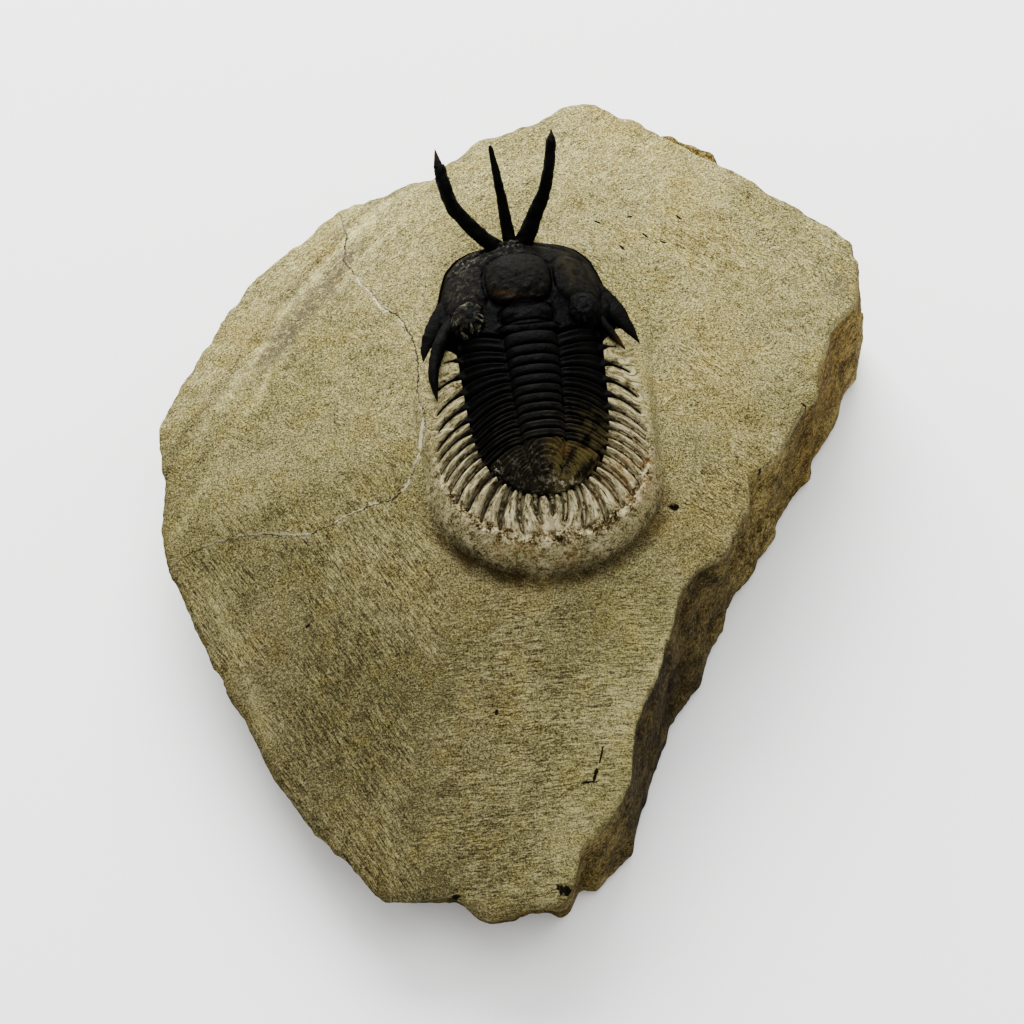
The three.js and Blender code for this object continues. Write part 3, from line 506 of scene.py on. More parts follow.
def fossilCalcite(name, deep, film, brown):
    # Calcite shell replaced by dark iron-stained calcite, air-abraded clean: nearly black with a dull sheen,
    # grey film on the high places, which on the plates' band crests is a painted highlight, and brown
    # see-through edges where it is thin.
    look = calciteLook
    material, add, where, seen = startMaterial(name, [row[0] for row in look["layers"]])
    noises = {key: add("TexNoise", where, *row) for key, row in look["noises"].items()}
    colour = add("ValToRGB", noises["grain"], stops=((0.35, deep), (0.62, film)))
    for key, pattern, low, high, least, most, tint in look["layers"]:
        colour = laid(add, colour, tint or brown, seen[key], (noises[pattern], low, high, least, most))
    height = weighted(add, (noises["grain"], 1.0), (noises["wide"], 0.7))
    return finishMaterial(material, {
        "Base Color": colour, "Normal": add("Bump", look["relief"], look["reliefMetres"], None, height),
        "Roughness": product(add, (noises["mottle"], 0.3, 0.7, *look["roughness"])),
        "IOR": look["ior"], "Specular IOR Level": look["specular"],
    })


limestone = groundLimestone()
blackCalcite = fossilCalcite("black calcite", "#000000", "#020202", "#2b1a09")
brownCalcite = fossilCalcite("brown calcite", "#030302", "#14110a", "#3f2710")
print("materials ready")


animal = {
    "axisJoints": [8.6, 6.6, 4.6, 2.7, 0.8, -1.1, -2.9, -4.6, -6.2, -7.8, -9.4, -10.9],
    "edgeJoints": [11.7, 9.5, 6.8, 3.6, 0.6, -2.1, -4.4, -6.4, -8.0, -9.5, -11.1, -12.7],
    "spineTips": [
        [13.6, 11.4], [14.9, 8.6], [16.5, 3.6], [17.0, -1.3], [17.2, -4.7], [17.7, -8.2],
        [17.9, -10.5], [17.7, -12.7], [17.1, -14.5], [16.4, -16.3], [15.6, -18.5],
    ],
    "tailSpines": [  # base x, y, tip x, y
        [8.7, -13.9, 14.0, -20.4], [7.5, -15.5, 11.9, -22.6], [6.1, -16.9, 8.8, -24.6],
        [4.4, -17.8, 5.0, -25.2], [2.1, -18.5, 1.9, -23.6],
    ],
    "lastSpine": [0, -18.7, 0, -22.4],
    "axisHalf": [[-18, 1.2], [-16, 2.3], [-11, 3.6], [0, 4.3], [10, 4.6]],
    "bodyHalf": [
        [-18.6, 0.4], [-18.2, 3.2], [-17, 5.6], [-15, 7.7], [-13, 9.2], [-10.4, 10.3],
        [-6, 11.1], [-2, 11.4], [12, 11.6],
    ],
    "edgeHeight": [[-18.6, 36.6], [-12, 37], [0, 37.6], [10, 38.2]],
    "archShare": [[-18.6, 0.2], [-17, 0.45], [-14, 0.72], [-10, 0.9], [-4, 1], [12, 1]],
    "plateGap": 0.14,
    "thickness": 1.2,
    "pleuraRise": 4.0,
    "axisRise": 1.9,
}
plateCount = len(animal["axisJoints"]) - 1


def backHeight(x, y, fall=2.2):
    # the edge's height, plus the side lobes' arch 1 - out^fall, plus the axis as a half ellipse
    half = readTable(animal["bodyHalf"], y)
    axis = np.minimum(readTable(animal["axisHalf"], y, 0.8), half * 0.9)
    arch = readTable(animal["archShare"], y, 0.8)
    out = np.clip((np.abs(x) - axis) / (half - axis), 0, 1)
    pleura = readTable(animal["edgeHeight"], y, 0.8) + animal["pleuraRise"] * arch * (1 - out**fall)
    lobe = np.sqrt(np.clip(1 - (x / axis) ** 2, 0, 1))
    return pleura + animal["axisRise"] * arch * lobe


def jointLine(joint, x):
    # y of a joint between plates against x: from its place on the axis to its place at the edge
    y = animal["axisJoints"][joint]
    axis = readTable(animal["axisHalf"], y)
    half = readTable(animal["bodyHalf"], y)
    out = np.clip((np.abs(x) - axis) / (half - axis), 0, 1)
    return y + (animal["edgeJoints"][joint] - y) * out**1.3


def spineCurve(base, tip, count):
    # a quadratic curve from base to tip, its middle pushed towards the head by 0.16 of its length
    base, tip = np.array(base, float), np.array(tip, float)
    towardsHead = 1 if tip[0] >= 0 else -1
    step = tip - base
    control = (base + tip) / 2 + 0.16 * towardsHead * np.array([-step[1], step[0]])
    t = np.linspace(0, 1, count)[:, None]
    return (1 - t) ** 2 * base + 2 * t * (1 - t) * control + t**2 * tip, t[:, 0]


def spineHalf(width, t, taper):
    # half the width, narrowing from the base to 0.13 mm at the tip by t^taper
    return (width + (0.26 - width) * t**taper) / 2


def plateSpine(plate, side):
    # base, tip, width at the base, power of the narrowing
    front, back = animal["edgeJoints"][plate] - 0.15, animal["edgeJoints"][plate + 1] + 0.15
    y = (front + back) / 2
    x = readTable(animal["bodyHalf"], y)
    tipX, tipY = animal["spineTips"][plate]
    slope = abs(x - tipX) / math.hypot(x - tipX, y - tipY)
    width = min(1.15, (front - back) * slope * 0.85)
    return [side * (x + 0.5), y], [side * tipX, tipY], width, 0.6


def tailSpine(row, side):
    # the same for a row of the tail's spines
    return [row[0] * side, row[1]], [row[2] * side, row[3]], 1.05, 1.8


def allSpines():
    # in order round the fan, from the right-hand side by the head round the tail to the left
    right, left = (
        [plateSpine(plate, side) for plate in range(plateCount)]
        + [tailSpine(row, side) for row in animal["tailSpines"]]
        for side in (1, -1)
    )
    return right + [tailSpine(animal["lastSpine"], 1)] + left[::-1]


# the head's outline, shared by the head and the rock round it
head = {
    "half": [
        [0, 32.9, 35.6], [4.5, 32.5, 35.6], [7.6, 31.8, 35.6], [10.4, 30.4, 35.6], [12.6, 27.8, 35.6],
        [13.8, 24, 35.8], [14.7, 20, 36.2], [15.7, 16.6, 36.6], [14.2, 14.2, 37.2], [12, 12.6, 38.4],
        [8, 11.2, 41.0], [4.6, 9.9, 41.8], [0, 9.0, 42.0],
    ],
    "middle": (0, 20),
    "top": 41.8,
    "lobes": [  # x, y, half width, half length, rise
        [-0.7, 21.3, 5.8, 6.0, 2.0], [0, 13.6, 4.6, 2.6, 1.2], [0, 10.6, 5.2, 1.5, 1.4],
        [9.6, 21.5, 4.2, 5.5, 0.8], [-9.8, 21.0, 4.0, 5.3, 0.7],
    ],
    "eye": {"x": 9.7, "y": 14.6, "half": 3.3, "top": 42.4},
}
horns = {  # rows of x, y, height and radius in mm, from the root to the tip
    "longLeft": [
        [-11.0, 16.6, 37.0, 1.3], [-12.6, 15.8, 37.4, 1.35], [-14.6, 12.6, 38.1, 1.3],
        [-16.2, 8.6, 38.2, 1.1], [-16.9, 4.8, 38.1, 0.85], [-16.7, 0.7, 37.5, 0.08],
    ],
    "shortRight": [
        [10.2, 16.6, 37.2, 1.1], [11.6, 15.2, 37.4, 1.1], [13.2, 12.4, 38.1, 0.9], [14.8, 9.8, 37.9, 0.6],
        [16.2, 7.6, 37.4, 0.1],
    ],
    "cheekLeft": [
        [-12.6, 21.6, 36.0, 1.3], [-14.2, 18.6, 36.1, 1.9], [-16.0, 15.4, 36.1, 1.7],
        [-17.5, 12.5, 35.9, 1.0], [-18.2, 9.9, 35.8, 0.1],
    ],
    "cheekRight": [
        [11.8, 22.8, 36.0, 1.4], [13.3, 19.9, 36.1, 2.1], [15.3, 16.5, 36.2, 2.0], [17.3, 13.1, 36.1, 1.15],
        [19.0, 9.8, 35.8, 0.1],
    ],
    "forkLeft": [
        [0.6, 29.6, 36.0, 1.6], [-0.9, 30.4, 36.2, 1.6], [-3.4, 31.6, 36.9, 1.45], [-7.3, 34.1, 40.0, 1.3],
        [-10.3, 36.7, 43.0, 1.25], [-11.4, 39.4, 45.2, 1.2], [-11.9, 42.2, 46.7, 1.1],
        [-12.15, 43.0, 47.1, 0.78], [-12.4, 45.8, 48, 0.06],
    ],
    "forkMiddle": [
        [-0.5, 28.8, 36.0, 1.3], [-0.7, 30.4, 36.3, 1.3], [-0.9, 33.2, 37.8, 1.1], [-1.5, 37.3, 41.5, 0.95],
        [-2.1, 41.0, 45.0, 0.74], [-2.7, 44.8, 47.6, 0.42], [-2.8, 45.5, 48.0, 0.06],
    ],
    "forkRight": [
        [-1.6, 29.4, 36.0, 1.6], [-0.4, 30.4, 36.2, 1.65], [1.8, 32.3, 37.6, 1.65], [3.9, 34.9, 41.0, 1.4],
        [5.5, 36.9, 44.0, 1.15], [6.7, 39.5, 47.0, 1.0], [7.5, 43.1, 49.6, 0.92], [7.7, 44.0, 50.1, 0.75],
        [7.9, 45.4, 51.0, 0.06],
    ],
}


def headArch(x, y):
    # margin height, plus the rest of the dome times 1 - share^2.6 of the way to the margin
    middle = head["middle"]
    reach, height = outlineAt(mirrored(head["half"]), np.arctan2(y - middle[1], x - middle[0]), middle, 0.6)
    share = np.clip(np.hypot(x - middle[0], y - middle[1]) / reach, 0, 1)
    return height + (head["top"] - height) * (1 - share**2.6)


def lobeRise(lobe, x, y):
    # rise * (1 - q)^0.6 over a squarish ellipse q < 1
    q = np.abs((x - lobe[0]) / lobe[2]) ** 2.5 + np.abs((y - lobe[1]) / lobe[3]) ** 2.5
    return lobe[4] * np.clip(1 - q, 0, 1) ** 0.6, q


slab = {
    "columns": 640, "bedRings": 7, "fanRings": 52, "moundRings": 16, "groundRings": 42,
    "sideRings": 28, "baseRings": 4,
    "tailCrowding": 0.75,
    # all of these in mm
    "rimChips": 0.5,
    "ridgeRise": 0.42, "ridgeUneven": 0.26, "seamDepth": 0.5,
    "lipRise": 0.12, "lipBumps": 0.42, "moundBumps": 0.1, "hollowDepth": 0.9,
    "facetCrest": (0.9, 9), "bevelCrest": (1.1, 8),  # rise and reach to each side
    "longWaves": 0.35, "bumps": 0.14, "smallBumps": 0.06, "chatterStep": 1.55, "chatterRise": 0.035,
    "crackDepth": 0.12, "fracture": 1.5, "ledges": 0.3,
    # shares of painted shade
    "moatShade": 0.86, "sideShade": 0.46,
    # x, y, half width, half length, strength, slope
    "rustSpots": [
        [14, -15.5, 5, 5.5, 0.9, 0], [-6.5, -26.6, 4.5, 1.6, 0.75, 0], [2, -29.2, 6, 1.4, 0.6, 0],
        [18, -22.4, 4, 1.6, 0.6, 0.5], [-3, -24.6, 5, 1.2, 0.5, 0],
    ],
    "greySpots": [[56.5, 21.6, 1.3, 1.9, 1.5, 0]],
}
# the slab's outlines: x, y, height
fanHalf = [
    [0, -26.2, 35.4], [5, -25.8, 35.4], [8.8, -24.4, 35.5], [12, -22.2, 35.6], [15.2, -18.7, 35.8],
    [17.2, -13.6, 36], [18.1, -9, 36.1], [18.4, -3, 36.2], [18.4, 2, 36.1], [18.2, 7, 35.9],
    [19.4, 10, 35.6], [18.6, 15.6, 35.3], [16.4, 21.6, 35.1], [15.2, 26, 35], [13.4, 29.8, 35],
    [10.8, 32.4, 35], [6, 34.4, 34.9], [0, 34.9, 34.9],
]
footHalf = [
    [0, -30.6, 30.6], [8.2, -28.9, 30.7], [12.8, -26.4, 30.9], [17, -22.2, 31.2], [19.6, -16.8, 31.8],
    [20.6, -8, 32.6], [21, 0, 33.4], [21.4, 7, 34], [21.6, 12, 34.3], [19.8, 21, 34.5],
    [17.4, 27.4, 34.6], [14.6, 32, 34.6], [9, 35.6, 34.5], [0, 36.8, 34.4],
]
rimLine = [
    [49, 2.5, 30], [54, 13.5, 29.5], [59, 18, 29], [61, 25.5, 29.5], [60.5, 30.5, 30], [46, 44, 31],
    [31, 56, 31], [26, 62, 30.5], [23, 62.5, 30.5], [19, 66.5, 30], [14.5, 67.5, 30], [3.5, 63, 29],
    [-4, 61.5, 28.5], [-13, 55, 27], [-16.5, 55.5, 27], [-20.5, 53.5, 26], [-30, 51.5, 25],
    [-46, 40.5, 22.5], [-55, 29, 21], [-62.5, 17.5, 20], [-65, 12, 20], [-65.5, 7.5, 19.5],
    [-64.5, 1.5, 19], [-66, -8.5, 18.5], [-65.2, -16, 18], [-57.3, -37.5, 15.8], [-48.8, -58.3, 13.5],
    [-34, -78, 12.5],
    [-23, -79, 14], [-17.5, -83.5, 13.5], [-5.5, -83, 16.5], [-3.5, -81, 17.5], [-1.5, -76, 19.5],
    [5, -70, 21.5], [7.5, -66, 22.5], [10, -56, 24.5], [17.5, -42.5, 27], [20, -35, 28],
    [22, -32.5, 28.5], [28.5, -29.5, 29], [33.5, -21, 29.5], [34, -16, 30], [40.5, -11.5, 30],
    [47, -2, 30], [49.5, 0, 30],
]
footprintReach = [  # degrees, how far the foot of the side stands out from the rim
    [-180, -7], [-120, -6], [-104, -4], [-95, -5], [-92, -1.4], [-89, 2.4], [-86, 2.6], [-80, 6.2],
    [-74, 3.9], [-68, 4], [-59, 7.4], [-53, 4.4], [-47, 1.4], [-35, 0.6], [-32, 0.8], [-26, 3.6],
    [-20, 2.6], [-14, 1.2], [-2, 2], [1, 1.6], [10, 5], [13, 5.2], [16, 3.6], [25, 4], [32, 0],
    [42, -4], [90, -6], [180, -7],
]
ledgeReach = [  # degrees, how far the ledge below the rim stands out
    [50, 0], [54, 4.6], [62, 3.6], [68, 0],
]
crackPath = [
    [-72, -18], [-65, -15.5], [-61.4, -13.5], [-56.9, -13.1], [-51.7, -13.3], [-47.2, -14.2], [-43.3, -15.7],
    [-40.8, -16.4], [-37.1, -15.6], [-33, -14.4], [-28.8, -13.5], [-25.9, -13.5], [-23.2, -11.9],
    [-22.4, -10], [-20.4, -5.8], [-19.4, -2.9], [-19.4, 0.4], [-20, 4.5], [-19.5, 7.8], [-19.3, 11.6],
    [-19.8, 16], [-21.8, 21.3], [-24.2, 23.6], [-26, 28.2], [-28.4, 33.3], [-30.3, 37.5], [-29.2, 42.6],
    [-31, 60],
]
crackHealing = [  # share along the crack, share of white calcite in it
    [0, 0.15], [0.2, 0.3], [0.27, 0.85], [0.44, 0.9], [0.5, 1], [0.6, 1], [0.66, 0.55], [0.75, 0.6],
    [0.82, 0.95], [0.92, 0.6], [0.96, 0.25], [1, 0],
]
paleLine = [[-57.6, -22.2], [-53.9, -34.1], [-52, -41.3], [-50.1, -47.9]]
bevelLine = [
    [-68, -7], [-64.8, -2.2], [-57.9, 7], [-48.2, 18.8], [-38.4, 31.2], [-28.5, 42.6], [-20.5, 49.5],
    [-8, 56],
]
facetLine = [[-20.7, -25.4], [-22.3, -40.2], [-24, -56], [-25.6, -71.2], [-26.6, -82]]


def slabAngles():
    # angles round the fossil, drawn closer together behind the tail
    turn = np.linspace(-np.pi, np.pi, 4001)
    weight = 1 + slab["tailCrowding"] * np.exp(-(((turn + np.pi / 2) / 0.95) ** 2))
    run = np.concatenate([[0], np.cumsum((weight[1:] + weight[:-1]) / 2)])
    return np.interp(np.arange(slab["columns"]) / slab["columns"] * run[-1], run, turn)


def bodyOutline():
    # the body seen from above: the head's front, the corners behind it, the plates and the tail
    headPart = [row for row in head["half"] if row[1] > 16]
    corner = [[15.9, 15.4, 0], [14.6, 12.2, 0], [12, 9, 0]]
    thorax = [[half, y, 0] for y, half in animal["bodyHalf"][::-1] if y < 0]
    return mirrored(headPart + corner + thorax + [[0, -18.8, 0]])


def stepTopAt(y, fanHeight):
    # the rock just outside the body: level with the ground round the head, with the plates' edge behind
    plates = np.maximum(fanHeight, readTable(animal["edgeHeight"], y, 1) - 0.1)
    return plates + (fanHeight + 0.2 - plates) * ease(y, 8.5, 13.5)


def fanSurface(x, y):
    # the smooth fan: a straight fall along each ray from the body's edge to the ridges' ends
    angles = np.arctan2(y, x)
    edge = outlineAt(bodyOutline(), angles, rounding=0.5)[0] + 0.35
    fan, fanHeight = outlineAt(mirrored(fanHalf), angles, rounding=0.8)
    top = stepTopAt(edge * np.sin(angles), fanHeight)
    share = np.clip((np.hypot(x, y) - edge - 0.2) / (fan - edge - 0.2), 0, 1)
    return top + (fanHeight - top) * share


def fanFields(x, y):
    # distance to the nearest spine, share along it, its half width, and a running number that
    # goes up by one from each spine to the next
    nearest = np.full(x.shape, 1e9)
    second = np.full(x.shape, 1e9)
    number = np.zeros(x.shape)
    other = np.zeros(x.shape)
    share = np.zeros(x.shape)
    half = np.zeros(x.shape)
    for k, (base, tip, width, taper) in enumerate(allSpines()):
        path, _ = spineCurve(base, tip, 16)
        d, t, _ = pathDistance(x, y, path)
        closer = d < nearest
        runnerUp = ~closer & (d < second)
        other = np.where(closer, number, np.where(runnerUp, k, other))
        second = np.where(closer, nearest, np.where(runnerUp, d, second))
        number = np.where(closer, k, number)
        share = np.where(closer, t, share)
        half = np.where(closer, spineHalf(width, t, taper), half)
        nearest = np.where(closer, d, nearest)
    running = number + (other - number) * nearest / (nearest + second)
    return nearest, share, half, running


def slabRings():
    # a polar grid of bed, fan, mound face, ground, side and underside. Each ring's reach and height
    # run from one outline to the next, by a share that is bent where the stone curves
    angles = slabAngles()
    degrees = np.degrees(angles)
    edge = outlineAt(bodyOutline(), angles, rounding=0.5)[0] + 0.35
    fan, fanHeight = outlineAt(mirrored(fanHalf), angles, rounding=0.8)
    foot, footHeight = outlineAt(mirrored(footHalf), angles, rounding=1.2)
    rim, rimHeight = outlineAt(rimLine, angles, rounding=0.5)
    cx, cy = np.cos(angles), np.sin(angles)
    chips = rough(rim * cx, rim * cy, 0 * rim, 3.4, 4, 3)
    bite = -np.abs(rough(rim * cx, rim * cy, 0 * rim + 9, 6.5, 3, 8))
    rim = rim + slab["rimChips"] * (chips + 0.9 * bite)
    rimHeight = rimHeight + 0.35 * rough(rim * cx, rim * cy, 0 * rim, 5, 2, 14)
    base = rim + readTable(footprintReach, degrees, 1)
    ledge = readTable(ledgeReach, degrees, 1) * (0.86 + 0.15 * lattice(degrees / 3, 0 * rim, 0 * rim, 1, 17))

    reach, height, zone = [], [], []

    def ring(r, z, kind):
        # one ring of the grid
        reach.append(np.broadcast_to(r, angles.shape))
        height.append(np.broadcast_to(z, angles.shape))
        zone.append(kind)

    stepTop = stepTopAt(edge * cy, fanHeight)
    for s in np.linspace(0.12, 1, slab["bedRings"]):
        x, y = edge * s * cx, edge * s * cy
        back = backHeight(x, y, 1.5)
        underHead = np.clip((y - 7.5) / 3, 0, 1)
        ring(edge * s, back + (np.minimum(headArch(x, y), back) - back) * underHead - 2.0, "bed")
    for s in np.linspace(0, 1, slab["fanRings"]):
        ring(edge + 0.2 + (fan - edge - 0.2) * s, stepTop + (fanHeight - stepTop) * s, "fan")
    for s in np.linspace(0, 1, slab["moundRings"] + 1)[1:]:
        soft = 0.5 - 0.5 * np.cos(np.pi * s**1.15)
        steep = 1 - math.sqrt(1 - 0.97 * s * s)  # ends nearly upright behind the tail
        drop = soft + (steep / 0.83 - soft) * ease(-cy, 0.35, 0.8)
        ring(fan + (foot - fan) * s, fanHeight + (footHeight - fanHeight) * drop, "mound")
    for s in np.linspace(0, 1, slab["groundRings"] + 1)[1:]:
        t = 0.45 * s + 0.55 * s**1.6
        ring(foot + (rim - foot) * t, footHeight + (rimHeight - footHeight) * t**1.25, "ground")
    for s in np.linspace(0, 1, slab["sideRings"] + 1)[1:]:
        down = np.interp(s, [0, 0.1, 0.4, 0.8, 0.95, 1], [1, 0.9, 0.68, 0.2, 0.06, 0])
        outward = np.interp(s, [0, 0.1, 0.4, 0.8, 0.95, 1], [0, 0.1, 0.4, 0.93, 1, 1])
        shelf = ease(s, 0.05, 0.18) * (1 - ease(s, 0.34, 0.7))
        across = rim + (base - rim) * outward - 1.5 * ease(s, 0.93, 1) + ledge * shelf
        ring(across, rimHeight * down + 0.8 * ledge * shelf, "side")
    for s in np.linspace(1, 0, slab["baseRings"] + 2)[1:-1]:
        ring((base - 1.5) * s, 0, "under")
    return angles, np.array(reach), np.array(height), np.array(zone)


def crease(x, y, line, rise, reach):
    # a ridge along a line: rise * (1 - distance / reach), its crest rounded
    d, _, _ = pathDistance(x, y, line)
    return rise * np.clip(1 - np.sqrt(d * d + 0.6) / reach, 0, 1)


def zoneShares(zone):
    # shares of the way through each zone, the same for every column
    share = np.zeros(len(zone))
    for kind in ("fan", "mound", "ground", "side"):
        rows = zone == kind
        share[rows] = np.linspace(0, 1, rows.sum())
    return share[:, None]


def outwardOf(x, y, outline, rounding):
    # distance beyond an outline along the ray from the middle
    return np.hypot(x, y) - outlineAt(outline, np.arctan2(y, x), rounding=rounding)[0]


def slabGrid():
    # the rings as arrays of x, y and z, with a mask for each zone and the share of the way through it
    angles, reach, height, zone = slabRings()
    g = SimpleNamespace(angles=angles, x=reach * np.cos(angles), y=reach * np.sin(angles), z=height.copy())
    g.flat = 0 * g.x
    for kind in ("bed", "fan", "mound", "ground", "side", "under"):
        setattr(g, kind, np.where(zone == kind, 1.0, 0.0)[:, None] + g.flat)
    g.opened = g.fan + g.mound + g.ground
    g.ridged = (zone == "fan") | (zone == "mound")
    g.share = zoneShares(zone)
    g.degrees = np.degrees(angles)[None, :]
    g.tailward = ease(-g.y, 6, 15)
    return g


def carveFan(g):
    # z: up by the ridges between the spines, down by the seams where spines lie, a bumpy lip
    # where the ridges end, the smooth face of the mound and the hollow at its foot
    x, y, flat, share = g.x, g.y, g.flat, g.share
    near, g.along, half, g.running = flat + 9, flat.copy(), flat + 1, flat.copy()
    rows = g.ridged
    near[rows], g.along[rows], half[rows], g.running[rows] = fanFields(x[rows], y[rows])
    g.seam = 1 - ease(near, half * 0.9, half + 0.4)
    behind = ease(-y, -14, -4)  # nothing of the fan in front of the cheeks
    g.inFan = g.fan * behind
    ridge = ease(near, 0.2, 1.0)
    lengthwise = rough(g.running * 3.1, g.along * 3.5, flat, 1.0, 3, 21)
    g.lipShare = ease(share, 0.82, 0.96)
    rise = slab["ridgeRise"] * (0.3 + 0.7 * g.tailward) * (ridge - 0.35)
    rise = rise + slab["ridgeUneven"] * lengthwise * ridge
    g.z += g.inFan * (1 - 0.7 * g.lipShare) * rise
    g.z -= g.inFan * slab["seamDepth"] * g.seam * (0.55 + 0.45 * g.tailward)
    g.lip = (g.fan * g.lipShare + g.mound * (1 - ease(share, 0.15, 0.55))) * behind
    g.z += g.lip * g.tailward * (slab["lipBumps"] * rough(x, y, g.z, 1.3, 3, 5) + slab["lipRise"])
    g.z += g.mound * g.tailward * slab["moundBumps"] * rough(x, y, g.z, 2.4, 2, 6)
    g.beyond = outwardOf(x, y, mirrored(footHalf), 1.2)
    g.hollow = ease(g.beyond, -0.1, 0.45) * (1 - ease(g.beyond, 0.8, 5.0)) * ease(-y, 8, 24)
    g.z -= g.hollow * slab["hollowDepth"] * g.ground * (1 + 0.3 * lattice(x, y, flat, 3, 44))


def carveGround(g):
    # z: up by the crests between the tool's facets, plus long low waves, small bumps and chatter,
    # a sine along y under patchy noise; down by the crack and the deeper marks
    x, y, flat = g.x, g.y, g.flat
    face = g.ground * ease(g.share, 0, 0.08) * (1 - ease(g.share, 0.93, 1))
    g.z += face * crease(x, y, facetLine, *slab["facetCrest"])
    g.z += face * crease(x, y, bevelLine, *slab["bevelCrest"])
    waves = slab["longWaves"] * lattice(x, y, flat, 17, 31)
    g.z += face * (waves + slab["bumps"] * rough(x, y, flat, 4.5, 2, 33))
    g.z += face * slab["smallBumps"] * rough(x, y, flat, 1.6, 2, 35)
    facet, _, facetSide = pathDistance(x, y, facetLine)
    g.facetTurn = facetSide * facet + 4 * lattice(x, y, flat, 8, 86)
    g.level = ease(g.facetTurn + 22 * ease(-y, 44, 84), -5, 5) * ease(-y, 26, 38)
    chatter = np.sin(y * 2 * np.pi / slab["chatterStep"] + 1.2 * lattice(x, y, flat, 9, 41))
    g.z += face * g.level * slab["chatterRise"] * (chatter * lattice(x, y, flat, 7, 42))
    g.crack, g.crackAlong, g.crackSide = pathDistance(x, y, crackPath)
    g.z -= (g.ground + g.mound) * slab["crackDepth"] * bell(g.crack, 0.5)
    for px, py, degrees, length, width, depth in marks:
        turn = math.radians(degrees)
        u = ((x - px) * math.cos(turn) + (y - py) * math.sin(turn)) / length
        v = ((y - py) * math.cos(turn) - (x - px) * math.sin(turn)) / width
        g.z -= depth * (1 - ease(np.hypot(u, v), 0.5, 1.5)) * g.opened


def breakSides(g):
    # the sides pushed out and in by roughness, low ledges and, where the stone was broken, by a
    # folded wave |w mod 2 - 1| - 1/2, which gives flat facets between sharp creases
    x, y, z = g.x, g.y, g.z
    belly = g.side * np.sin(np.pi * np.clip(g.share, 0, 1)) ** 0.6
    g.brokenSide = ease(g.degrees, -88, -80) * (1 - ease(g.degrees, 34, 46))
    strata = lattice(x, y, z * 3.0, 8, 67) * g.brokenSide
    g.fracture = np.abs((1.6 * rough(x, y, z * 1.3, 13, 2, 63)) % 2 - 1) - 0.5
    push = 0.12 * rough(x, y, z, 6.0, 2, 61) + 0.3 * rough(x, y, z, 1.9, 3, 62)
    push = belly * (push + slab["ledges"] * strata)
    push = push + belly * slab["fracture"] * g.fracture * g.brokenSide
    g.x = x + push * np.cos(g.angles)
    g.y = y + push * np.sin(g.angles)
    g.z = z + belly * 0.22 * rough(g.x, g.y, z, 2.2, 3, 71)


def bevelValues(g):
    # how grey the bedding patches are and how pale the streaks, by the distance to the left of
    # the bevel's line and the share along it
    x, y, flat = g.x, g.y, g.flat
    bevel, along, side = pathDistance(x, y, bevelLine)
    fromBevel = bevel * side
    wander = fromBevel + 1.2 * lattice(x, y, flat, 9, 87)
    streaky = 0.5 + 0.9 * lattice(wander * 4, along * 25, flat, 1, 88)  # thin streaks along the bevel
    grey = bell(wander + 2.4, 2.6) * ease(along, 0.4, 0.48) * (1 - ease(along, 0.66, 0.74))
    grey = grey * (1.1 + 0.3 * streaky) + spots(x, y, slab["greySpots"])
    streaks = bell(wander - 0.6, 1.6) * ease(along, 0.2, 0.45) + 0.7 * bell(wander + 5.4, 0.9)
    toolPass, toolAlong, _ = pathDistance(x, y, paleLine)
    lowerLeft = bell(toolPass, 1.1) * (0.7 + 0.5 * lattice(toolPass * 3, toolAlong * 20, flat, 1, 89))
    pale = 1.2 * streaks * streaky * (1 - ease(along, 0.8, 0.95)) + 0.9 * lowerLeft
    pale = pale - 0.5 * bell(fromBevel - 2.6, 1.2) * ease(along, 0.1, 0.3)
    pale = pale + 0.5 * ease(x - 0.36 * y, 14, 26) * ease(-y, 26, 40)
    return grey, pale


def shadeValue(g):
    # painted light and shade, 0 for deepest painted shade and 1 for full light: darker towards the tail and
    # the left, a painted shadow in the moat round the mound, darker on the broken side, whose facets are
    # painted lit and shaded
    x, y, flat = g.x, g.y, g.flat
    shade = 0.86 + 0.14 * ease(y, 30, 56) - 0.27 * ease(-y, -22, 34)
    shade = shade - 0.05 * ease(-x, 4, 45) * ease(-y, -10, 20) - 0.06 * ease(-x, 4, 40) * ease(-y, 20, 45)
    shade = shade - 0.05 * bell(x - 2, 16) * bell(y + 40, 12) - 0.04 * bell(y - 5, 20) * ease(-x, 10, 50)
    shade = shade + 0.06 * ease(x, 0, 30) * ease(-y, 28, 40)
    # painted shadow in the moat at the mound's foot
    moatShadow = ease(g.beyond, -0.4, 0.3) * (1 - ease(g.beyond, 0.4, 4.2)) * ease(-y, 16, 26)
    moatShadow = moatShadow * (1 + 0.55 * rough(x, y, flat, 3, 3, 46)) * (1 - 0.3 * ease(x, 2, 14))
    shade = shade * (1 - slab["moatShade"] * np.clip(moatShadow, 0, 1) * g.opened)
    # painted light on the mound's face
    shade = shade + 0.05 * g.mound * ease(-y, 8, 20)
    # the broken side: facets painted lighter and darker, and painted shade deepening towards the tail
    facetShade = 0.12 * g.fracture - (slab["sideShade"] * ease(-y, 20, 50) - 0.03)
    shade = shade + g.side * facetShade * g.brokenSide
    # painted shade on the side at the top ledge
    return shade - 0.16 * g.side * ease(g.degrees, 44, 52) * (1 - ease(g.degrees, 66, 74))


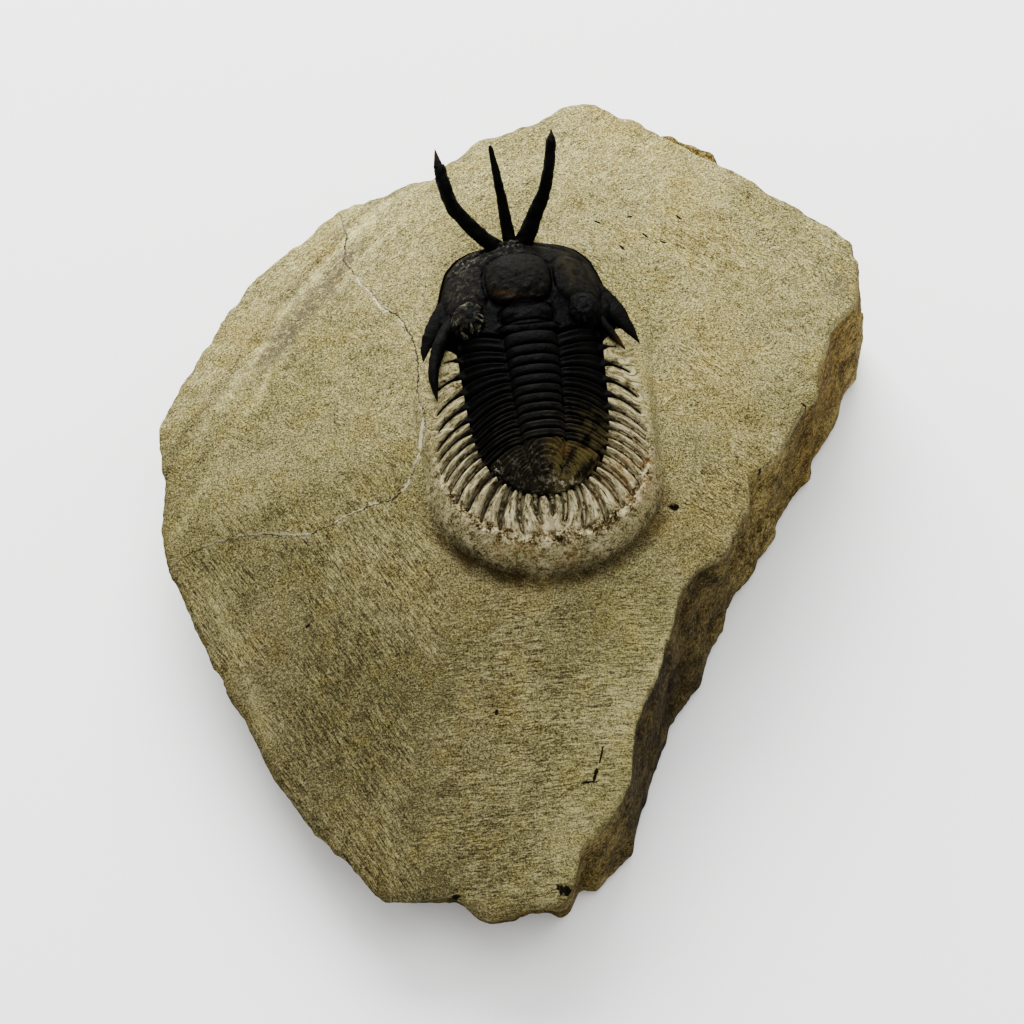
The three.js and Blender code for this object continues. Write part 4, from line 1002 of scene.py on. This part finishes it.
def slabValues(g):
    # what the material reads at each point, nearly all of it from 0 to 1
    x, y, flat, share = g.x, g.y, g.flat, g.share
    wobble = lattice(x, y, g.z, 2.2, 81)
    broken = g.side * ease(share + 0.015 * wobble, 0.0, 0.03)
    chipped = g.ground * ease(share, 0.965, 1) * 0.5 * ease(wobble, 0.1, 0.4)
    # the mound's brushed face, strongest behind the tail; its lighter tone is partly painted light
    powder = g.mound * (0.2 + 0.6 * g.tailward) * ease(-y, -16, 2)
    powder = powder * (0.9 + 0.5 * rough(x, y, flat, 3.5, 2, 83))
    # rust spots, and in the hollow a brown tint that is painted shadow
    rust = np.maximum(spots(x, y, slab["rustSpots"], np.max), 0.5 * g.hollow * ease(-y, 16, 26))
    grey, pale = bevelValues(g)
    seam = g.inFan * g.seam * (1 - ease(g.along, 0.93, 1.0)) * (1 - 0.45 * ease(x, 6, 13) * ease(-y, 2, 12))
    whiten = ease(-y, 2, 17) + 0.45 * ease(x, 6, 13) * ease(-y, -2, 8)
    return {
        "fan": g.inFan * (1 - 0.75 * g.lipShare), "fanAcross": g.running, "fanAlong": g.along * 8,
        "whiten": np.clip(whiten, 0, 1), "lip": g.lip * g.tailward, "seam": np.clip(seam, 0, 1),
        "powder": np.clip(powder, 0, 1), "rust": rust * g.opened,
        "crack": np.clip(g.crack * g.crackSide, -6, 6), "healing": readTable(crackHealing, g.crackAlong),
        "broken": np.maximum(broken, chipped), "sawn": g.under,
        "ochre": g.side * ease(g.degrees, -16, -2) * (1 - 0.85 * ease(g.degrees, 40, 56)),
        "grey": np.clip(grey, 0, 1) * g.ground, "pale": np.clip(pale, -1, 1.5) * g.ground,
        "bed": np.maximum(g.bed, g.fan * (1 - ease(share, 0, 0.01))), "shade": np.clip(shadeValue(g), 0, 1),
        "strokeUp": ease(y - 0.4 * x + 6 * lattice(x, y, flat, 12, 85), 22, 46), "strokeLevel": g.level,
        "strokeSteep": ease(-g.facetTurn, -5, 5) * ease(-y, -2, 16),
    }


def makeSlab():
    # the grid, carved and broken, as one closed skin
    grid = slabGrid()
    for shape in (carveFan, carveGround, breakSides):
        shape(grid)
    return skin(np.stack([grid.x, grid.y, grid.z], -1), **slabValues(grid))


makePiece("matrixStone", "matrix", [makeSlab()], limestone)


plateLook = {
    "bodyStations": 101, "spineStations": 26, "topPoints": 19, "underPoints": 5,
    "band": 0.15, "axisBand": 0.2, "furrow": 0.28, "edgeDrop": 0.3,  # mm
    "firstLonger": 0.6,  # mm, the half ring that tucks under the head
}


def spineRings(base, tip, width, narrowing, startHalf, startTop, count, taper):
    # a flat-bottomed bar along the spine's curve: half width eases from the plate's to the spine's
    # own over the taper length, and the section is a low arch
    path, t = spineCurve(base, tip, count)
    length = np.concatenate([[0], np.cumsum(np.hypot(*np.diff(path, axis=0).T))])
    step = np.gradient(path, axis=0)
    step /= np.hypot(step[:, 0], step[:, 1])[:, None]
    across = np.stack([-step[:, 1], step[:, 0]], -1)
    across *= np.where(across[:, 1:] < 0, -1, 1)
    own = ease(length, -0.2, taper)[:, None]
    across = across * own + np.array([0, 1]) * (1 - own)
    across /= np.hypot(across[:, 0], across[:, 1])[:, None]
    narrow = spineHalf(width, t, narrowing) * (1 - ease(t, 0.93, 1.0) * 0.75)
    half = narrow * own[:, 0] + startHalf * (1 - own[:, 0])
    sunk = 0.02 + 0.26 * ease(-path[:, 1], 4, 14)  # deeper in the rock towards the tail
    crest = fanSurface(path[:, 0], path[:, 1]) - sunk
    lifted = ease(length, 0, taper * 1.2)
    crest = crest * lifted + startTop * (1 - lifted)
    return path, across, half, crest, 0.9 * (1 - 0.5 * t)


def sectionAngles():
    # places round a section: across the top from fore edge to hind edge, then back underneath
    top = np.linspace(1, -1, plateLook["topPoints"])
    under = np.linspace(-1, 1, plateLook["underPoints"] + 2)[1:-1]
    return np.concatenate([top, under]), np.concatenate([np.ones(len(top)), np.zeros(len(under))])


def spineSkinRings(*bar):
    # rings round the bar: its top an arch 1 - |v|^2.4 across the width, its underside flat
    path, across, half, crest, thick = spineRings(*bar)
    v, upper = sectionAngles()
    wear = 1 + 0.16 * rough(path[:, 0], path[:, 1], 0 * half, 1.1, 2, 91)
    plan = path[:, None, :] + across[:, None, :] * (half * wear)[:, None, None] * v[None, :, None]
    arch = 1 - np.abs(v) ** 2.4
    z = crest[:, None] - thick[:, None] * (1 - arch[None, :] * upper[None, :])
    return np.concatenate([plan, z[..., None]], -1)


def plateShell(plate):
    # sections across the body at even steps of x, each with two bands on the side lobes and one
    # on the axis, carried on at both ends as the spines
    v, upper = sectionAngles()
    gap = animal["plateGap"] / 2
    middleY = (animal["edgeJoints"][plate] + animal["edgeJoints"][plate + 1]) / 2
    reach = readTable(animal["bodyHalf"], middleY)
    x = np.linspace(-reach, reach, plateLook["bodyStations"])
    front, back = jointLine(plate, x) - gap, jointLine(plate + 1, x) + gap
    if plate == 0:
        front = front + plateLook["firstLonger"]
    y = (front + back)[:, None] / 2 + (front - back)[:, None] / 2 * v[None, :]
    grid = np.broadcast_to(x[:, None], y.shape)
    top = backHeight(grid, y)
    axis = readTable(animal["axisHalf"], (animal["axisJoints"][plate] + animal["axisJoints"][plate + 1]) / 2)
    onAxis = 1 - ease(np.abs(grid), axis - 0.4, axis + 0.5)
    sideBands = -plateLook["band"] * np.cos(2 * np.pi * v)[None, :] * ease(np.abs(grid), axis, axis + 1.4)
    ring = plateLook["axisBand"] * (1 - np.abs(v[None, :] + 0.15) ** 2.2) * onAxis
    furrow = -plateLook["furrow"] * bell(np.abs(grid) - axis, 0.45)
    edgeDrop = -plateLook["edgeDrop"] * np.abs(v[None, :]) ** 8
    relief = sideBands + ring + furrow + edgeDrop + 0.05 * rough(grid, y, 0 * y, 0.9, 2, 100 + plate)
    z = top + relief * upper[None, :] - animal["thickness"] * (1 - upper[None, :])
    body = np.stack([grid, y, z], -1)
    halfEnd = (front[-1] - back[-1]) / 2
    ends = []
    for side in (-1, 1):
        spine = plateSpine(plate, side)
        startTop = float(backHeight(reach, spine[0][1])) - 0.05
        spine = spineSkinRings(*spine, halfEnd * 0.96, startTop, plateLook["spineStations"], 1.5)
        ends.append(spine[::-1] if side < 0 else spine)
    rings = np.concatenate([ends[0], body, ends[1]])
    x, y = rings[..., 0], rings[..., 1]
    onSpine = ease(np.abs(x), reach + 0.3, reach + 2.5)
    low = ease(-y, 0, 10)
    # grey film along the crests of the bands on the tailward plates: a painted highlight on the ridges
    crest = 1 - ease(np.abs(np.abs(np.broadcast_to(v, x.shape)) - 0.5), 0.05, 0.25)
    crest = crest * (0.6 + 0.8 * rough(x, y * 0.4, 0 * x, 1.2, 2, 97))
    film = 0.02 + low * (0.08 + 0.7 * crest + 0.25 * ease(x, 2, 7))
    worn = 0.5 * ease(-y, 6, 14) + 0.5 * ease(x, 8, 12) * low
    return skin(
        rings, film=np.clip(film, 0, 1) * (1 - onSpine), olive=0.45 * ease(x, 4, 9) * ease(-y, 2, 11),
        brown=0.35 * onSpine * ease(-y, 0, 14), worn=onSpine * worn, chalk=0 * x,
    )


for plate in range(plateCount):
    number = str(plate + 1).zfill(2)
    skins = [plateShell(plate)]
    makePiece("thoraxSegment" + number, "thorax_segment_" + number, skins, blackCalcite)


tail = {
    "columns": 320, "topRings": 74, "underRings": 8, "middle": (0, -13.6),
    "axisJoints": animal["axisJoints"] + [-12.1, -13.2, -14.2, -15.1, -15.9, -16.6],
    "edgeJoints": animal["edgeJoints"] + [-14.7, -16.2, -17.35, -18.15, -18.8, -19.3],
    "band": 0.15, "ringStep": 0.95, "ringRise": 0.2, "furrow": 0.25, "uneven": 0.09, "edgeRound": 0.45,  # mm
    "spineStations": 34,
    "wornRight": (0.4, 0.45, 0.55, 0.75, 0.85), "wornLeft": (0.1, 0.1, 0.3, 0.6, 0.85),
    "chalk": [[3.2, -17.6, 2.6, 1.3, 0.7, 0], [-8.1, -13.6, 0.5, 0.8, 0.8, 0]],  # as the slab's spots
}


def jointNumber(x, y):
    # which joint line passes through a point: for a share out across the side lobe, the lines are
    # a mix of the axis places and the edge places, read backwards
    half = readTable(animal["bodyHalf"], y)
    axis = np.minimum(readTable(animal["axisHalf"], y, 0.8), half * 0.9)
    out = np.clip((np.abs(x) - axis) / (half - axis), 0, 1) ** 1.3
    inner, outer = (np.array(tail[key])[:, None, None] for key in ("axisJoints", "edgeJoints"))
    lines = inner * (1 - out) + outer * out
    k = np.clip((lines > y[None]).sum(0) - 1, 0, len(lines) - 2)
    upper = np.take_along_axis(lines, k[None], 0)[0]
    lower = np.take_along_axis(lines, k[None] + 1, 0)[0]
    return k + np.clip((upper - y) / (upper - lower), 0, 1), out, axis


def tailOutline():
    # the last joint's line in front and the body's edge behind
    edge = readTable(animal["bodyHalf"], animal["edgeJoints"][plateCount])
    frontX = np.linspace(0, 1, 11) * edge
    frontY = jointLine(plateCount, frontX) - animal["plateGap"] / 2
    front = [[a, b, 0] for a, b in zip(frontX, frontY)]
    rear = [[half, y, 0] for y, half in animal["bodyHalf"][::-1] if y < -12.7]
    return mirrored(front + rear + [[0, -18.8, 0]])


def tailShell():
    # rings shrunk from the outline to a middle; the back's height plus bands along the joint
    # lines, arched rings on the axis and a smooth narrow border
    middle = tail["middle"]
    angles = np.linspace(-np.pi, np.pi, tail["columns"], endpoint=False)
    reach, _ = outlineAt(tailOutline(), angles, middle, 0.25)
    under = np.linspace(1, 0.1, tail["underRings"])
    shares = np.append(np.linspace(0.02, 1, tail["topRings"]), under)[:, None]
    x = middle[0] + reach * shares * np.cos(angles)
    y = middle[1] + reach * shares * np.sin(angles)
    joint, out, axis = jointNumber(x, y)
    onAxis = 1 - ease(np.abs(x), axis - 0.3, axis + 0.4)
    offAxis = ease(np.abs(x), axis, axis + 1.0) * (1 - ease(out, 0.9, 1))
    bands = -tail["band"] * np.cos(4 * np.pi * joint) * offAxis
    arcs = y + 0.17 * x * x
    rings = tail["ringRise"] * np.cos(2 * np.pi * arcs / tail["ringStep"]) * onAxis * ease(y, -17.6, -16.4)
    relief = bands + rings - tail["furrow"] * bell(np.abs(x) - axis, 0.4)
    relief = relief + tail["uneven"] * rough(x, y, 0 * x, 1.1, 3, 131)
    isUnder = np.zeros_like(x)
    isUnder[tail["topRings"] :] = 1
    edgeRound = -tail["edgeRound"] * ease(shares, 0.93, 1.0) ** 2
    z = backHeight(x, y) + (relief + edgeRound) * (1 - isUnder) - animal["thickness"] * isUnder
    right = ease(x + 0.35 * lattice(x, y, 0 * x, 2.5, 141), -0.8, 1.8)
    behind = ease(-y, 10.6, 13.5)
    return skin(
        np.stack([x, y, z], -1), film=0.25 * (1 - right) + 0.2 * ease(-y, 15, 18), worn=0 * x,
        olive=np.clip(right * (0.4 + 0.5 * behind), 0, 1),
        brown=right * ease(lattice(x, y, 0 * x, 1.3, 143), 0.25, 0.6) * 0.6,
        chalk=spots(x, y, tail["chalk"]) + 0.1 * behind * (1 - right),
    )


def tailSpineSkin(row, side, brown, worn):
    # the same bar as a plate's spine, its root 1.2 mm inside the shield
    base, tip, width, narrowing = tailSpine(row, side)
    top = float(backHeight(row[0] * 0.95, row[1])) - 0.25
    base, tip = np.array(base), np.array(tip)
    root = base - (tip - base) / np.hypot(*(tip - base)) * 1.2
    rings = spineSkinRings(root, tip, width, narrowing, width * 0.55, top, tail["spineStations"], 1.2)
    share = np.linspace(0, 1, len(rings))[:, None] * np.ones(rings.shape[1])
    return skin(
        rings, brown=brown * ease(share, 0.1, 0.5), olive=brown * 0.5 + 0 * share, film=0.2 + 0 * share,
        chalk=0 * share, worn=worn * ease(share, 0.05, 0.3),
    )


tailSkins = [tailShell()]
for row, wornRight, wornLeft in zip(animal["tailSpines"], tail["wornRight"], tail["wornLeft"]):
    tailSkins += [tailSpineSkin(row, 1, 0.7, wornRight), tailSpineSkin(row, -1, 0.15, wornLeft)]
tailSkins.append(tailSpineSkin(animal["lastSpine"], 1, 0.3, tail["wornRight"][-1]))
makePiece("tailShield", "pygidium", tailSkins, brownCalcite)


headLook = {
    "columns": 360, "topRings": 110, "underRings": 10, "hornSides": 20, "hornStations": 90,
    "horns": {  # where brown starts along it, seed of its wear, unevenness, flatness
        "longLeft": (0.95, 171, 0.05, 1), "shortRight": (0.6, 172, 0.05, 1),
        "cheekLeft": (0.95, 173, 0.05, 0.6), "cheekRight": (0.95, 174, 0.05, 0.6),
        "forkLeft": (0.86, 175, 0.07, 1), "forkMiddle": (0.85, 176, 0.07, 1),
        "forkRight": (0.9, 177, 0.07, 1),
    },
    "furrows": (0.35, 0.4, 0.35, 0.12, 0.12),  # mm, round each lobe in turn
    "border": 0.3, "borderFurrow": 0.45, "snout": 1.5,  # mm
    "tubercle": (0.1, 0.32), "bigTubercle": (0.28, 0.42),  # rise and half width in mm
    "sideLobes": [[3.3, 16.0, 1.5], [3.5, 13.6, 1.3]],  # x, y, size of the pairs behind the front lobe
    # spots as the slab's: x, y, half width, half length, strength, slope
    "chalk": [[-9.6, 28.6, 3.4, 2.6, 1, 0], [-1, 30, 2.2, 1.8, 0.7, 0], [-10.5, 20, 3, 5, 0.25, 0]],
    "olive": [[5.2, 30.2, 1.5, 0.9, 0.5, 0], [8.5, 25, 2.4, 3, 0.14, 0]],
    "brown": [[-3.4, 17.59, 1.7, 0.6, 0.45, 0.35]],
}
tubercles = np.random.default_rng(5).uniform((-5.6, 14.5), (5.6, 27.5), (46, 2))
bigTubercles = np.array([[-3.6, 17.4], [-1.9, 16.7], [1.3, 16.6], [3.2, 18.2], [-4.9, 19.8]])


def headShell():
    # rings shrunk from the outline to a middle: dome, lobes with furrows round them, raised
    # border with a furrow inside it, tubercles, the snout that carries the fork
    middle = head["middle"]
    angles = np.linspace(-np.pi, np.pi, headLook["columns"], endpoint=False)
    reach, _ = outlineAt(mirrored(head["half"]), angles, middle, 0.35)
    under = np.linspace(1, 0.1, headLook["underRings"])
    shares = np.append(np.linspace(0.01, 1, headLook["topRings"]), under)[:, None]
    x = middle[0] + reach * shares * np.cos(angles)
    y = middle[1] + reach * shares * np.sin(angles)
    arch = headArch(x, y)
    rises = [lobeRise(lobe, x, y) for lobe in head["lobes"]]
    z = arch + np.max([rise for rise, _ in rises], 0)
    relief = np.zeros_like(x)
    for (_, q), depth in zip(rises, headLook["furrows"]):
        relief -= depth * bell(np.sqrt(q) - 1.02, 0.09)
    inside = reach * (1 - shares)
    border = headLook["border"] * bell(inside - 0.8, 0.6)
    relief += ease(y, 14, 18) * (border - headLook["borderFurrow"] * bell(inside - 2.1, 0.55))
    for px, py, size in headLook["sideLobes"]:
        for side in (-1, 1):
            q = ((x - side * px) / size) ** 2 + ((y - py) / (size * 0.7)) ** 2
            relief += 0.35 * np.clip(1 - q, 0, 1) ** 0.7
    small, big = headLook["tubercle"], headLook["bigTubercle"]
    for places, (rise, size) in ((tubercles, small), (bigTubercles, big)):
        for px, py in places:
            relief += rise * bell(np.hypot(x - px, y - py), size)
    snout = bell(np.hypot((x + 0.6) / 1.55, y - 31.2), 2.3)
    relief += headLook["snout"] * snout + 0.4 * snout * rough(x, y, 0 * x, 0.8, 3, 151)
    relief += 0.1 * rough(x, y, 0 * x, 1.0, 3, 153)
    isUnder = np.zeros_like(x)
    isUnder[headLook["topRings"] :] = 1
    z = z + (relief - 0.5 * ease(shares, 0.96, 1) ** 2) * (1 - isUnder) - animal["thickness"] * isUnder
    lobe = np.clip(1 - rises[0][1], 0, 1)
    smudge = 0.3 * rough(x, y, 0 * x, 2.6, 3, 155)
    cheeks = ease(np.abs(x), 6.5, 9) * (1 - ease(np.abs(x), 12, 14)) * ease(y, 15, 20)
    film = 0.32 * ease(lobe + smudge, 0.0, 0.6) + 0.8 * cheeks * (0.35 + smudge)
    olive, brown = spots(x, y, headLook["olive"]), spots(x, y, headLook["brown"])
    return skin(
        np.stack([x, y, z], -1), film=np.clip(film, 0, 1) * ease(y, 14.5, 17), olive=olive, brown=brown,
        chalk=0.3 * spots(x, y, headLook["chalk"]) * ease(inside, 0.2, 1.0), worn=0 * x,
    )


def eyeShell(side):
    # a low kidney-shaped turret; rows of round lenses stand out on its sloping outer face
    eye = head["eye"]
    turn = np.linspace(-np.pi, np.pi, 240, endpoint=False)[None, :]
    v = np.linspace(0, 1, 70)[:, None]
    share = 1 - 0.16 * ease(v, 0, 0.5) - 0.42 * ease(v, 0.55, 0.95) - 0.2 * ease(v, 0.9, 1)
    pinch = 1 - 0.16 * bell(np.abs(turn) - np.pi, 0.7)  # the inner side is drawn in
    x = eye["x"] + eye["half"] * share * pinch * np.cos(turn)
    y = eye["y"] + eye["half"] * 1.08 * share * pinch * np.sin(turn)
    foot = np.full(x.shape, 38.9) + 1.0 * (1 - ease(x, eye["x"] - 2, eye["x"] + 2))
    rise = ease(v, 0, 1) * 0.35 + v * 0.65
    z = foot + (eye["top"] + 0.15 - foot) * rise - 0.35 * ease(v, 0.82, 1.0)
    rowStep, lensStep = 0.125, 2 * np.pi / 40
    row = np.floor(v / rowStep)
    du = ((turn + 0.5 * lensStep * (row % 2)) / lensStep) % 1 - 0.5
    dv = (v / rowStep) % 1 - 0.5
    lens = np.clip(1 - (du**2 + dv**2) / 0.18, 0, 1) ** 0.5
    facing = ease(np.cos(turn), -0.5, 0.0) * ease(v, 0.12, 0.2) * (1 - ease(v, 0.68, 0.78))
    push = 0.13 * lens * facing
    x = x + push * np.cos(turn)
    y = y + push * np.sin(turn)
    z = z + 0.05 * rough(x, y, z, 0.8, 2, 161)
    # grey streaks on the rim, not on top, and hardly any on the right eye
    rim = bell(v - 0.45, 0.34) * (0.4 + 0.5 * ease(-np.cos(turn + 0.4), -1.1, 0.0))
    streaked = ease(rough(turn * 3, v * 2, 0 * turn * v, 0.5, 2, 163), -0.3, 0.4)
    grey = rim * streaked * (1 if side < 0 else 0.06)
    none = 0 * grey
    points = np.stack([x * side, y, z], -1)
    return skin(points, chalk=0.6 * grey, film=2.5 * grey, olive=none, brown=none, worn=none)


def hornShell(rows, brownFrom, seed, edge, flatness):
    # a round or flattened tube along a smooth curve; its radius is read from the rows, with worn
    # uneven edges
    line = curveThrough(rows, headLook["hornStations"])
    points, radius = line[:, :3], np.clip(line[:, 3], 0.04, None)
    tangent = np.gradient(points, axis=0)
    tangent /= np.linalg.norm(tangent, axis=1)[:, None]
    across = np.cross(tangent, (0, 0, 1.0))
    across /= np.linalg.norm(across, axis=1)[:, None]
    above = np.cross(across, tangent)
    turn = np.linspace(0, 2 * np.pi, headLook["hornSides"], endpoint=False)
    nx, ny = np.cos(turn)[None, :, None], np.sin(turn)[None, :, None]
    out = across[:, None, :] * nx + above[:, None, :] * ny * flatness
    spot = points[:, None, :] + out * radius[:, None, None]
    wear = 1 + edge * 2 * rough(spot[..., 0], spot[..., 1], spot[..., 2], 1.3, 3, seed)
    rings = points[:, None, :] + out * (radius[:, None] * wear)[..., None]
    share = np.linspace(0, 1, len(line))[:, None] * np.ones(len(turn))
    brown = ease(share, brownFrom, 1) * 0.95
    none = 0 * share
    return skin(rings, brown=brown, film=0.04 + none, olive=none, chalk=none, worn=none)


headSkins = [headShell(), eyeShell(1), eyeShell(-1)]
headSkins += [hornShell(horns[name], *how) for name, how in headLook["horns"].items()]
makePiece("headShield", "cephalon", headSkins, blackCalcite)


stage = {
    "floor": "#fbfbfa", "floorRoughness": 0.8, "floorSize": 6.0, "floorGap": 0.0002,
    "world": "#ffffff", "worldStrength": 1.1,
    "target": (-0.005167, -0.00691, 0.025), "azimuth": -6.5, "elevation": 60, "distance": 0.45, "lens": 93.06,
    "lamps": [  # place, size, watts, aimed at the fossil
        [(-0.05, 0.72, 0.52), 0.7, 30.0], [(0.1, 0.1, 1.1), 0.8, 8.0],
    ],
}


def makeFloor():
    # one flat square of matt painted board, nearly white, 0.2 mm below the part
    half = stage["floorSize"] / 2
    square = ((-half, -half), (half, -half), (half, half), (-half, half))
    corners = [(x, y, -stage["floorGap"]) for x, y in square]
    mesh = bpy.data.meshes.new("floor")
    mesh.from_pydata(corners, [], [(0, 1, 2, 3)])
    floor = bpy.data.objects.new("floor", mesh)
    bpy.context.scene.collection.objects.link(floor)
    board = startMaterial("pale board")[0]
    finishMaterial(board, {"Base Color": stage["floor"], "Roughness": stage["floorRoughness"]})
    mesh.materials.append(board)


def aim(thing, target):
    # a camera or lamp turned to look at a place
    thing.rotation_euler = (Vector(target) - thing.location).to_track_quat("-Z", "Y").to_euler()


def makeLights():
    # square softboxes aimed at the fossil, and an even white world
    for i, (place, size, watts) in enumerate(stage["lamps"]):
        light = bpy.data.lights.new("softbox" + str(i + 1), "AREA")
        light.shape = "SQUARE"
        light.size = size
        light.energy = watts
        lamp = bpy.data.objects.new(light.name, light)
        lamp.location = place
        bpy.context.scene.collection.objects.link(lamp)
        aim(lamp, (0, 0, 0.03))
    world = bpy.data.worlds.new("studio")
    world.use_nodes = True
    background = world.node_tree.nodes["Background"]
    background.inputs["Color"].default_value = srgb(stage["world"])
    background.inputs["Strength"].default_value = stage["worldStrength"]
    bpy.context.scene.world = world


def makeCamera():
    # on a sphere about its target: azimuth from the front, elevation above the table
    data = bpy.data.cameras.new("camera")
    data.lens = stage["lens"]
    data.sensor_width = 36
    camera = bpy.data.objects.new("camera", data)
    a, e = math.radians(stage["azimuth"]), math.radians(stage["elevation"])
    back = Vector((math.sin(a) * math.cos(e), -math.cos(a) * math.cos(e), math.sin(e)))
    camera.location = Vector(stage["target"]) + back * stage["distance"]
    aim(camera, stage["target"])
    bpy.context.scene.collection.objects.link(camera)
    bpy.context.scene.camera = camera


makeFloor()
makeLights()
makeCamera()
print("stage ready")
